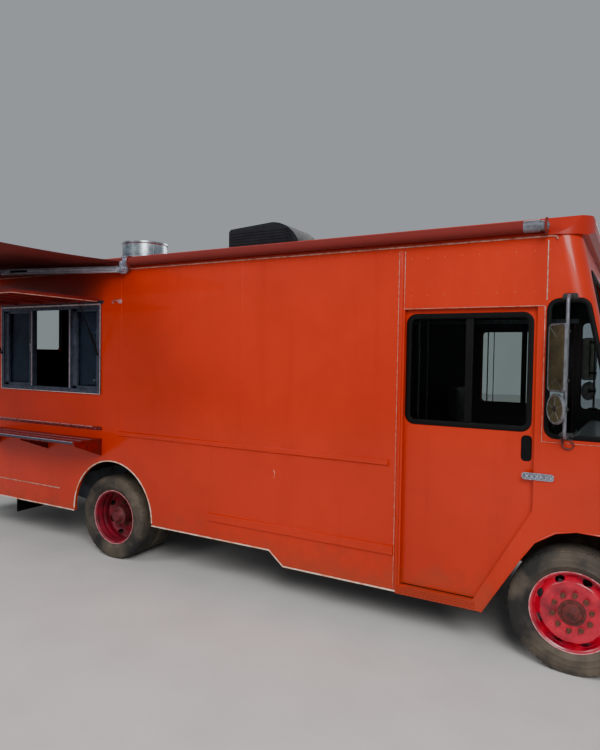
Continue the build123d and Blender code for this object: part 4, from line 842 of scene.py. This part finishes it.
def mirrors():
    """Looped tubes with a tall head and a round one on each, seen from behind, with their clamps."""
    forms = [Form(f"mirror_{part}") for part in ("tubes", "shells", "backs", "faces", "clamps", "hooks")]
    tubes, shells, backs, faces, clamps, hooks = forms
    x, high, low, bend = -0.06, 2.412, 1.535, 0.045
    tall_z, round_z, loop_reach = 2.03, 1.715, 0.13
    turn, up = radians(37), Vector(UP)
    shell = ((0.012, 0.022), (0.01, 0.024), (0.003, 0.024), (0, 0.02), (0, 0.006), (0.004, 0.001))
    for _, side in SIDES:
        wall, loop = side * BODY_HALF, side * (BODY_HALF + loop_reach)
        out = (0, side, 0)
        path = [(x, wall, high)]
        for z, way in ((high, -1), (low, 1)):
            arc = [
                (x, loop - side * bend * (1 - sin(a)), z + way * bend * (1 - cos(a)))
                for a in (pi / 2 * k / 5 for k in range(6))
            ]
            path += arc[::-way]
        path.append((x, wall, low))
        tubes.tube(path, 0.011, 12, across=AHEAD)
        across = Vector((-side * sin(turn), -cos(turn), 0))
        back = Vector((-cos(turn), side * sin(turn), 0))
        foot = Vector((x - 0.04, loop, 0))

        def spot(u, z, depth):
            """A point of a mirror head: across it, over the ground, and how far back."""
            return foot + across * u + up * z + back * depth

        # nested outlines of each head, as (inset, depth)
        for form, outline, z, steps in (
            (shells, tall_head, tall_z, (*shell, (0.011, 0), (0.012, 0.004))),
            (backs, tall_head, tall_z, ((0.012, 0.006), (0.014, 0.0035), (0.03, 0.002), (0.045, 0.0005), (0.06, 0))),
            (faces, tall_head, tall_z, ((0.013, 0.0215), (0.013, 0.0232), (0.016, 0.0236))),
            (shells, round_head, round_z, (*shell, (0.009, 0), (0.011, 0.004))),
            (backs, round_head, round_z, ((0.011, 0.006), (0.016, 0.005), (0.05, 0.003), (0.074, 0.001))),
            (faces, round_head, round_z, ((0.012, 0.02), (0.014, 0.0225), (0.05, 0.0238))),
        ):
            form.capped([[spot(u, z + v, depth) for u, v in outline(inset)] for inset, depth in steps])
        # spokes on both faces of the round head, pressed folds on the tall one, a strap down its other face
        for a in circle(5):
            c, s = cos(a + 0.3), sin(a + 0.3)
            for depth in (0.002, 0.0226):
                ends = [foot + across * r * c + up * (round_z + r * s) + back * depth for r in (0.018, 0.08)]
                tubes.tube(ends, 0.0024, 6)
        for end in (-1, 1):
            for w in (-0.074, 0.074):
                tubes.tube([spot(u, tall_z + end * v, 0.0229) for u, v in ((w, 0.188), (0, 0.128))], 0.0016, 5)
        hub = foot + up * round_z
        clamps.turned(((0.026, 0.006), (0.026, -0.002), (0.018, -0.006), (0, -0.007)), hub, back, 16)
        clamps.turned(((0.02, 0.022), (0.019, 0.0245), (0.012, 0.0258), (0, 0.0262)), hub, back, 16)
        clamps.tube([foot + up * z + across * 0.012 - back * 0.003 for z in (1.85, 2.21)], 0.005, 6)
        for z in (1.88, 2.18, 1.703):
            clamps.box((x - 0.05, loop - 0.015, z), (x + 0.016, loop + 0.015, z + 0.024), 0.004)
            clamps.dome((x + 0.016, loop, z + 0.012), AHEAD, 0.007, 0.006, 6)
        # plates on the cab's side
        for z in (high, low):
            outline = rounded(rectangle(x - 0.045, x + 0.045, z - 0.024, z + 0.024), 0.016)
            clamps.plate(on_side(outline, side), out, 0.008)
            clamps.turned(((0.02, 0.006), (0.019, 0.026), (0.013, 0.032)), (x, wall, z), out, 14)
            for dx in (-0.032, 0.032):
                clamps.dome((x + dx, wall + side * 0.008, z), out, 0.007, 0.006, 6)
        hook = [(x - 0.03, wall + side * 0.006, low - 0.014)]
        for a in (-1.9, -1.3, -0.6, 0, 0.7, 1.4, 2.1, 2.7):
            hook.append((x + 0.012 + 0.034 * sin(a), wall + side * 0.014, low - 0.052 - 0.026 * cos(a)))
        hooks.tube(hook, 0.006, 8)
    looks = ("mirror_tube", "mirror_shell", "mirror_back", "mirror_glass", "black_plastic", "rust_red")
    pieces = [form.done(look) for form, look in zip(forms, looks)]
    # the hooks replace nothing of the CAD
    for piece in pieces[:-1]:
        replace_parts(piece, "mirrors")


# Wheels

# half a rim's barrel, as radius and distance from its middle, and the pale edge of its flange, worn paint and a painted
# highlight
BARREL = (
    (0.238, 0), (0.23, 0.015), (0.23, 0.04), (0.24, 0.058), (0.2415, 0.082), (0.248, 0.0895), (0.256, 0.0925),
    (0.261, 0.095), (0.264, 0.0935), (0.264, 0.0895), (0.261, 0.0868), (0.247, 0.085), (0.2465, 0.06), (0.244, 0),
)
LIP = ((0.256, 0.0922), (0.26, 0.0954), (0.2625, 0.0954), (0.2646, 0.093), (0.26, 0.093))


def on_wheel(axle_x, radius, angle, y):
    """A point round an axle, its angle from straight up."""
    return (axle_x + radius * sin(angle), y, TYRE_RADIUS + radius * cos(angle))


def tyre(name, axle_x, middle, side, node, body):
    """A worn rib tyre: four grooves round it, and notches in its shoulders."""
    lugs, floor = 56, TYRE_RADIUS - 0.009
    # half the section, from the bead to the tread
    wall = (
        (0.2473, -0.084), (0.262, -0.0865), (0.272, -0.1), (0.296, -0.108), (0.298, -0.1105), (0.303, -0.111),
        (0.305, -0.1098), (0.33, -0.1125), (0.345, -0.1122), (0.347, -0.1108), (0.351, -0.1106), (0.36, -0.1105),
        (0.382, -0.106), (0.386, -0.1035), (0.389, -0.106), (0.3965, -0.101), (0.401, -0.092),
    )
    grooves = [
        (radius, groove + offset)
        for groove in (-0.062, -0.022, 0.022, 0.062)
        for radius, offset in ((TYRE_RADIUS, -0.0055), (floor, -0.0035), (floor, 0.0035), (TYRE_RADIUS, 0.0055))
    ]
    profile = [*wall, *grooves, *((radius, -along) for radius, along in wall[::-1])]
    lines = []
    for lug in range(lugs):
        # along one lug: share of its pitch, and how deep the notch is there
        for share, depth in ((0, 0), (0.7, 0), (0.76, 0.0035), (0.94, 0.0035)):
            angle = tau * (lug + share) / lugs
            line = []
            for radius, along in profile:
                shoulder = abs(along) > 0.066 and radius > 0.388
                line.append(on_wheel(axle_x, radius - (depth if shoulder else 0), angle, side * middle + along))
            lines.append(line)
    form = Form(name)
    form.grid(lines, closed_rows=True)
    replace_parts(form.done("rubber", body, sharp=40), node)


def rim_band(form, axle_x, middle, side, profile):
    """A closed profile of (radius, distance out from the rim's middle), turned about the axle."""
    rows = [[on_wheel(axle_x, radius, a, side * (middle + along)) for radius, along in profile] for a in circle(72)]
    form.grid(rows, closed_rows=True, closed_columns=True)


def rim_disc(form, axle_x, disc, out, side):
    """A pressed disc: flat middle, and a slope to the barrel with oval hand holes in it."""
    holes, ring, half_r, half_a, thick = 8, 0.2145, 0.0175, 0.031, 0.01
    inner, outer, reach = 0.19, 0.2385, pi / holes

    def at(radius, angle, under):
        slope = min(max((radius - 0.188) / 0.044, 0), 1)
        drop = 0.04 * slope * slope * (3 - 2 * slope) + under * thick
        return on_wheel(axle_x, radius, angle, side * (disc - out * drop))

    # the field round one hole, and for each of its points the oval's in the same direction
    edge = [(inner + (outer - inner) * k / 4, -reach) for k in range(4)]
    edge += [(outer, -reach + 2 * reach * k / 9) for k in range(9)]
    edge += [(outer - (outer - inner) * k / 4, reach) for k in range(4)]
    edge += [(inner, reach - 2 * reach * k / 9) for k in range(9)]
    around = [atan2((radius - ring) / half_r, angle * ring / half_a) for radius, angle in edge]
    oval = [(ring + half_r * sin(a), half_a / ring * cos(a)) for a in around]
    for turn in circle(holes, 0.5):
        rows = [
            [at(r0 + (r1 - r0) * share, turn + a0 + (a1 - a0) * share, under) for (r0, a0), (r1, a1) in zip(edge, oval)]
            for share, under in ((0, 0), (0.6, 0), (0.93, 0), (1, 0.25), (1, 0.75), (0.93, 1), (0, 1))
        ]
        form.grid(rows, closed_columns=True)
    # the middle, pressed out round the bolts
    plate = (
        (inner, 0), (0.178, 0), (0.15, -0.1), (0.142, 0.15), (0.1, 0.15), (0.094, 0), (0.08, 0), (0.08, 1), (inner, 1),
    )
    form.grid([[at(radius, a, under) for radius, under in plate] for a in circle(holes * 9)], closed_rows=True)


def heads(form, profile, axle_x, face, side, ring, angles):
    """Six-sided heads of that profile on a ring round the axle, their angles from straight ahead."""
    for a in angles:
        form.turned(profile, (axle_x + ring * cos(a), side * face, TYRE_RADIUS + ring * sin(a)), (0, side, 0), 6)


def wheels():
    """Front wheels and rear pairs: treads, pressed rims, pale lips that are worn and painted as highlights, hubs, coned
    nuts and hub bolts.
    """
    front_middle, front_disc = 1.0285, 1.1205
    rear_outer, rear_inner = 0.9965, 0.7385
    nut_circle = 0.117
    barrel = [*BARREL, *((radius, -along) for radius, along in BARREL[-2:0:-1])]
    nut = (
        (0.019, 0), (0.019, 0.004), (0.0155, 0.006), (0.0155, 0.022), (0.012, 0.026), (0.0085, 0.026),
        (0.0085, 0.038), (0, 0.039),
    )
    front_hub = (
        (0.079, 0.96), (0.079, 1.118), (0.084, 1.119), (0.084, 1.124), (0.066, 1.126), (0.062, 1.13),
        (0.061, 1.134), (0.052, 1.137), (0.03, 1.138), (0.026, 1.1405), (0, 1.1408),
    )
    rear_hub = (
        (0.079, 0.62), (0.079, 0.884), (0.088, 0.886), (0.086, 0.9), (0.078, 0.915), (0.076, 0.99), (0.086, 1),
        (0.088, 1.004), (0.088, 1.018), (0.08, 1.021), (0.066, 1.03), (0.054, 1.052), (0.046, 1.066), (0, 1.07),
    )

    def lip(end, label, axle_x, middle, side, body):
        form = Form(f"{end}_lip_{label}")
        rim_band(form, axle_x, middle, side, LIP)
        # the pale lip is worn paint and a painted highlight
        form.done("rim_lip_wear_and_highlight", body)

    def hub_and_nuts(end, label, axle_x, side, body, profile, look, nut_face, bolts):
        hub = Form(f"{end}_hub_{label}")
        hub.turned(profile, (axle_x, 0, TYRE_RADIUS), (0, side, 0), 40)
        hub.done(look, body)
        nuts = Form(f"{end}_nuts_{label}")
        heads(nuts, nut, axle_x, nut_face, side, nut_circle, circle(10, 0.3))
        shape, face, ring, count = bolts
        heads(nuts, shape, axle_x, face, side, ring, circle(count))
        nuts.done("rust", body)

    for label, side in SIDES:
        body = f"front_wheel_{label}"
        tyre(f"front_tread_{label}", 0, front_middle, side, f"front_tyre_{label}", body)
        rim = Form(f"front_rim_pressed_{label}")
        rim_band(rim, 0, front_middle, side, barrel)
        rim_disc(rim, 0, front_disc, 1, side)
        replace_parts(rim.done("rim_paint", body), f"front_rim_{label}")
        lip("front", label, 0, front_middle, side, body)
        bolts = (head(0.006, 0.005), 1.1245, 0.073, 6)
        hub_and_nuts("front", label, 0, side, body, front_hub, "rust_red", front_disc - 0.0015, bolts)

        body = f"rear_wheels_{label}"
        rim = Form(f"rear_rims_pressed_{label}")
        for middle, disc, out in ((rear_outer, 0.8785, -1), (rear_inner, 0.8665, 1)):
            rim_band(rim, -WHEELBASE, middle, side, barrel)
            rim_disc(rim, -WHEELBASE, disc, out, side)
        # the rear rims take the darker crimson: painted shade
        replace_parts(rim.done("rear_rim_paint_shaded", body), f"rear_rim_{label}")
        for spot, middle in (("outer", rear_outer), ("inner", rear_inner)):
            tyre(f"rear_tread_{spot}_{label}", -WHEELBASE, middle, side, f"rear_tyre_{label}", body)
        lip("rear", label, -WHEELBASE, rear_outer, side, body)
        bolts = (head(0.008, 0.009), 1.019, 0.076, 8)
        hub_and_nuts("rear", label, -WHEELBASE, side, body, rear_hub, "hub_rust", 0.8905, bolts)


# Front, back and underneath


def lamps():
    """Headlamps with bezel, bowl, bulb and lens; ribbed tail lamps in rubber rings."""
    parts = ("bezels", "bowls", "lenses", "grommets", "tail_lenses", "turn_lenses")
    forms = [Form(f"lamp_{part}") for part in parts]
    chrome, bowls, lenses, rubber, red, amber = forms
    lamp_x, lamp_z = 0.652, 0.93
    bezel = (
        (0.096, 0), (0.0975, 0.04), (0.096, 0.05), (0.09, 0.058), (0.083, 0.0595), (0.079, 0.055), (0.078, 0.044),
        (0.08, 0),
    )
    bowl = ((0.079, 0.045), (0.066, 0.026), (0.046, 0.012), (0.02, 0.006), (0, 0.005))
    bulb = ((0.01, 0.004), (0.011, 0.024), (0.007, 0.034), (0, 0.036))
    lens = (
        (0.079, 0.046), (0.064, 0.0525), (0.04, 0.057), (0, 0.0595), (0, 0.0565), (0.04, 0.054), (0.064, 0.0495),
        (0.078, 0.043),
    )
    grommet = ((0.046, 0), (0.055, 0), (0.055, 0.008), (0.05, 0.016), (0.045, 0.018), (0.043, 0.012))
    ribs = [(0.044, 0.01)]
    for k in range(7):
        radius = 0.041 - 0.005 * k
        ribs += [(radius, 0.0195), (radius - 0.0025, 0.0175)]
    ribs.append((0, 0.0205))
    for _, side in SIDES:
        lamp_y = side * 0.68
        at = (lamp_x, lamp_y, lamp_z)
        chrome.turned(bezel, at, AHEAD, 48)
        for a in circle(4, 0.5):
            chrome.dome((0.709, lamp_y + 0.087 * cos(a), lamp_z + 0.087 * sin(a)), AHEAD, 0.005, 0.003)
        bowls.turned(bowl, at, AHEAD, 40)
        bowls.turned(bulb, at, AHEAD, 16)
        lenses.turned(lens, at, AHEAD, 40)
        # upright flutes, bulging with the lens
        for k in range(9):
            y = -0.064 + 0.016 * k
            reach = sqrt(0.072 ** 2 - y * y)
            flute = []
            for z in (reach * (t / 5 - 1) for t in range(11)):
                bulge = 0.011 * (1 - (hypot(y, z) / 0.079) ** 2)
                flute.append((lamp_x + 0.0475 + bulge, lamp_y + y, lamp_z + z))
            lenses.tube(flute, 0.0022, 5, across=LEFT)
        for z, form in ((0.7, amber), (0.86, red)):
            rubber.turned(grommet, (REAR_X, side * 0.98, z), BACK, 36)
            form.turned(ribs, (REAR_X, side * 0.98, z), BACK, 36)
    looks = ("reflector", "reflector", "glass", "gasket", "lens_red", "amber")
    pieces = [form.done(look) for form, look in zip(forms, looks)]
    for piece in pieces:
        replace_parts(piece, "lamps")


def front_trim():
    """Mesh behind the grille bars, wipers, the hood's handle, bolts in the bumper."""
    mesh = Form("grille_mesh")
    for i in range(60):
        y = -0.444 + i * 0.01505
        mesh.tube([(0.664, y, 0.726), (0.664, y, 1.074)], 0.0011, 4, across=LEFT)
    for i in range(24):
        z = 0.73 + i * 0.01483
        mesh.tube([(0.6655, -0.446, z), (0.6655, 0.446, z)], 0.0011, 4)
    mesh.done("black_plastic")
    surround = Form("grille_surround")
    section = ((-0.006, -0.01), (-0.006, 0.003), (0.004, 0.006), (0.014, 0.004), (0.016, 0), (0, -0.01))
    seal(surround, rounded(rectangle(-0.45, 0.45, 0.72, 1.08), 0.02), lambda u, v, h: (0.7 + h, u, v), section)
    surround.done("zinc")
    wipers = Form("wipers")
    for _, side in SIDES:
        pivot = ((0.02, 0), (0.02, 0.01), (0.014, 0.018), (0, 0.02))
        wipers.turned(pivot, on_screen(side * 0.66, 0.045, 0), SCREEN_OUT, 14)
        arm = [on_screen(side * y, v, h) for y, v, h in ((0.66, 0.045, 0.016), (0.58, 0.16, 0.024), (0.4, 0.42, 0.02))]
        wipers.tube(arm, 0.006, 6, flat=0.5)
        low = on_screen(side * 0.395, 0.395, 0.008) - Vector((0.006, 0.01, 0.012))
        high = on_screen(side * 0.395, 0.42, 0.016) + Vector((0.008, 0.01, 0.012))
        wipers.box(low, high, 0.003)
        blade = [on_screen(side * y, v, h) for y, v, h in ((0.6, 0.2, 0.008), (0.4, 0.41, 0.01), (0.2, 0.61, 0.008))]
        wipers.tube(blade, 0.005, 6)
    wipers.done("black_plastic")
    handle = Form("hood_handle")
    low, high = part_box("hood")
    grip = ((-0.012, -0.06, 0.008), (0, -0.055, 0.022), (0, 0.055, 0.022), (-0.012, 0.06, 0.008))
    handle.tube([(high.x + x, y, low.z + rise) for x, y, rise in grip], 0.006, 8, across=AHEAD)
    handle.done("black_plastic", "hood")
    bolts = Form("bumper_bolts")
    for y in (-0.95, -0.38, -0.32, 0.32, 0.38, 0.95):
        for z in (0.48, 0.56):
            bolts.dome((0.7995, y, z), AHEAD, 0.013, 0.0006, 6)
    bolts.done("rust")


def back_trim():
    """The rear door's lever, rivets, a fuel cap, and splash panels by the rear wheels, dark sheets that also stand in
    for the shade under the body.
    """
    lever = Form("rear_door_lever")
    plate = rounded(rectangle(-0.405, -0.335, 1.36, 1.56), 0.015)
    lever.plate([(REAR_X - 0.004, y, z) for y, z in plate], BACK, 0.006)
    spindle = ((0.022, 0.006), (0.022, 0.02), (0.016, 0.034), (0, 0.036))
    lever.turned(spindle, (REAR_X - 0.004, -0.37, 1.5), BACK, 18)
    arm = [(REAR_X - 0.034, -0.37, 1.5), (REAR_X - 0.038, -0.32, 1.497), (REAR_X - 0.036, -0.245, 1.49)]
    lever.tube(arm, 0.01, 10, flat=0.6, across=AHEAD)
    for z in (1.375, 1.545):
        lever.dome((REAR_X - 0.01, -0.37, z), BACK, 0.007, 0.004, 6)
    lever.done("zinc", "rear_door")
    rivets = Form("rear_rivets")
    for _, side in SIDES:
        for i in range(24):
            # the two lowest rows have none beside the door
            for y in (1.115, 0.475) if i > 1 else (1.115,):
                rivets.dome((REAR_X, side * y, 0.63 + i * 0.093), BACK, 0.0045, 0.0025)
    rivets.domes((REAR_X, -1.05, 2.775), (0, 0.1, 0), 22, BACK, 0.0045, 0.0025)
    rivets.done("rivet")
    cap = Form("fuel_cap")
    profile = (
        (0.062, 0), (0.062, 0.004), (0.05, 0.007), (0.044, 0.007), (0.044, 0.013), (0.04, 0.0138), (0.014, 0.0135),
        (0, 0.0135),
    )
    cap.turned(profile, (-2.9, BODY_HALF, 0.8), LEFT, 36)
    cap.done("black_plastic")
    # inner splash panels, also dark sheets of painted shade that hide the floor under the body
    panel = Form("splash_and_shade_panels")
    side_view = (
        (-5.56, 0.42), (-4.8, 0.32), (-4.34, 0.32), (-4.3, 0.62), (-3.9, 0.62), (-3.84, 0.34), (-3.58, 0.34),
        (-3.58, 0.785), (-5.56, 0.785),
    )
    for _, side in SIDES:
        panel.plate([(x, side * 0.588, z) for x, z in side_view], (0, side, 0), 0.003)
        panel.domes((-5.5, side * 0.591, 0.76), (0.46, 0, 0), 5, (0, side, 0), 0.009, 0.005, 6)
    panel.done("inner_panel_and_shade")


# Cab


def swollen(piece, pressure, most):
    """Remeshes a closed pad, lets cloth pressure round it, and holds each point within the most given."""
    def baked():
        found = piece.evaluated_get(bpy.context.evaluated_depsgraph_get())
        data = bpy.data.meshes.new_from_object(found)
        piece.modifiers.clear()
        piece.data = data

    remesh = piece.modifiers.new("remesh", "REMESH")
    remesh.mode = "VOXEL"
    remesh.voxel_size = 0.0105
    baked()
    start = [vert.co.copy() for vert in piece.data.vertices]
    cloth = piece.modifiers.new("cloth", "CLOTH")
    cloth.settings.use_pressure = True
    cloth.settings.uniform_pressure_force = pressure
    cloth.settings.effector_weights.gravity = 0
    for number in range(1, 21):
        bpy.context.scene.frame_set(number)
    baked()
    bpy.context.scene.frame_set(1)
    for vert, at in zip(piece.data.vertices, start):
        moved = vert.co - at
        if moved.length > most:
            vert.co = at + moved * (most / moved.length)
    smooth = piece.modifiers.new("smooth", "SUBSURF")
    smooth.levels = 1
    baked()
    piece.data.shade_smooth()


def seat():
    """The driver's seat: two crowned vinyl cushions with sewn channels and piping, on a steel base."""
    # a channel's depth and width, and how far from the pad's sides it fades
    channel_depth, channel_width, fade = 0.006, 0.009, 0.05
    # name, two corners, and the axis that its crowned face looks along
    for name, low, high, axis in (
        ("seat_cushion", (-1.13, 0.392, 1.092), (-0.742, 0.848, 1.18), 2),
        ("seat_back", (-1.253, 0.402, 1.195), (-1.167, 0.838, 1.748), 0),
    ):
        form = Form(name)
        form.box(low, high, 0.034, steps=4)
        pad = form.done("vinyl")
        swollen(pad, 4, 0.012)
        # sewn channels, front to back on the cushion and upright on the back
        for vert in pad.data.vertices:
            from_side = min(abs(vert.co.y - low[1]), abs(high[1] - vert.co.y))
            for y in (SEAT_Y - 0.115, SEAT_Y - 0.038, SEAT_Y + 0.038, SEAT_Y + 0.115):
                if vert.co[axis] > (low[axis] + high[axis]) / 2:
                    share = exp(-(((vert.co.y - y) / channel_width) ** 2))
                    vert.co[axis] -= channel_depth * share * min(from_side / fade, 1)
        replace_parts(pad, "driver_seat")
        # piping, laid where rays from all round meet the pad
        piping = Form(f"{name}_piping")
        points = [vert.co for vert in pad.data.vertices]
        tree = BVHTree.FromPolygons(points, [tuple(face.vertices) for face in pad.data.polygons])
        centre = (Vector(low) + Vector(high)) / 2
        centre[axis] = high[axis] - 0.022
        path = []
        for a in circle(96):
            aim = Vector((cos(a), sin(a), 0) if axis == 2 else (0, cos(a), sin(a)))
            path.append(tree.ray_cast(centre + aim * 0.6, -aim)[0])
        piping.tube(path, 0.0042, 8, closed=True, across=UP if axis == 2 else AHEAD)
        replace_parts(piping.done("gasket"), "driver_seat")
    base = Form("seat_base")
    base.box((-1.15, 0.47, 0.8201), (-0.85, 0.77, 0.832), 0.003)
    base.box((-1.11, 0.5, 0.832), (-0.88, 0.74, 1.06), 0.012)
    base.box((-1.14, 0.4, 1.06), (-0.752, 0.84, 1.086), 0.006)
    for y in (0.406, 0.834):
        base.tube([(-1.13, y, 1.075), (-1.2, y, 1.09), (-1.215, y, 1.15), (-1.213, y, 1.26)], 0.008, 8, across=LEFT)
    for z in (0.88, 0.94, 1):
        base.tube([(-0.878, 0.52, z), (-0.878, 0.72, z)], 0.004, 6)
    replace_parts(base.done("black_plastic"), "driver_seat")


def controls():
    """The steering wheel's round rim, spokes and hub, and dials on the dashboard."""
    centre, foot = Vector((-0.4, SEAT_Y, 1.33)), Vector((-0.14, SEAT_Y, 1.14))
    axis = (centre - foot).normalized()
    side = Vector(LEFT)
    up = axis.cross(side) * -1
    wheel = Form("steering_rim")
    radius = 0.225
    rim = [centre + side * radius * cos(a) + up * radius * sin(a) for a in circle(64)]
    wheel.tube(rim, 0.0125, 12, closed=True, across=axis)
    for k in range(3):
        a = pi / 2 + tau * k / 3
        along = side * cos(a) + up * sin(a)
        spoke = [centre + along * 0.03, centre + along * 0.13 - axis * 0.004, centre + along * 0.222]
        wheel.tube(spoke, 0.013, 8, flat=0.4, across=axis)
    hub = ((0, -0.007), (0.044, -0.007), (0.047, 0), (0.042, 0.009), (0.026, 0.012), (0, 0.0125))
    wheel.turned(hub, centre, axis, 28)
    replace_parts(wheel.done("black_plastic", "steering_wheel"), "steering_wheel")
    dials, faces = Form("dash_dials"), Form("dash_faces")
    # two large dials over three small ones: place and radius
    big, small = ((0.54, 0.042), (0.7, 0.042)), ((0.62, 0.026), (0.46, 0.024), (0.78, 0.024))
    for y, z, r in [(y, 1.335, r) for y, r in big] + [(y, 1.285, r) for y, r in small]:
        at = (-0.15, y, z)
        dials.turned(((r, 0), (r + 0.004, 0.004), (r, 0.009), (r - 0.004, 0.006)), at, BACK, 24)
        faces.turned(((r - 0.002, 0.002), (0, 0.002)), at, BACK, 24)
        # nine ticks and a needle
        for k in range(9):
            a = -0.8 + k * (pi + 1.6) / 8
            dials.tube([(-0.1525, y + reach * cos(a), z + reach * sin(a)) for reach in (r * 0.72, r * 0.88)], 0.0012, 4)
        dials.tube([(-0.154, y, z), (-0.154, y - r * 0.45, z + r * 0.5)], 0.0014, 5)
    dials.done("zinc")
    faces.done("black_plastic")


# Studio


def studio():
    """A pale floor, a soft grey world and three square lamps."""
    floor_mesh = bpy.data.meshes.new("studio_floor")
    floor_mesh.from_pydata([(-30, -30, 0), (24, -30, 0), (24, 30, 0), (-30, 30, 0)], [], [(0, 1, 2, 3)])
    floor = bpy.data.objects.new("studio_floor", floor_mesh)
    bpy.context.scene.collection.objects.link(floor)
    floor.data.materials.append(plain("pale_floor", (214, 212, 208), (206, 204, 200), 2, 0.8, bump=0))
    world = bpy.data.worlds.new("studio")
    world.use_nodes = True
    sky = world.node_tree.nodes["Background"].inputs
    sky["Color"].default_value = linear(226, 232, 240)
    sky["Strength"].default_value = 0.42
    bpy.context.scene.world = world
    # place, aim, size, power
    for label, at, aim, size, power in (
        ("key", (3.5, -9, 7.5), (-2.5, 0, 1.2), 5, 900),
        ("fill", (-8, -7.5, 9), (-4, 0, 1.4), 6, 420),
        ("back", (-3, 9, 7), (-3, 0, 1.5), 6, 450),
    ):
        lamp = bpy.data.objects.new(label, bpy.data.lights.new(label, "AREA"))
        lamp.data.shape = "SQUARE"
        lamp.data.size = size
        lamp.data.energy = power
        lamp.location = at
        lamp.rotation_euler = (Vector(aim) - Vector(at)).to_track_quat("-Z", "Y").to_euler()
        bpy.context.scene.collection.objects.link(lamp)


for build in (
    aim_camera, dress_nodes, body_trim, gaskets, hasps, service_window, hatch_trim, counter_trim, awning,
    awning_hardware, roof_gear, mirrors, wheels, lamps, front_trim, back_trim, seat, controls, studio,
):
    build()
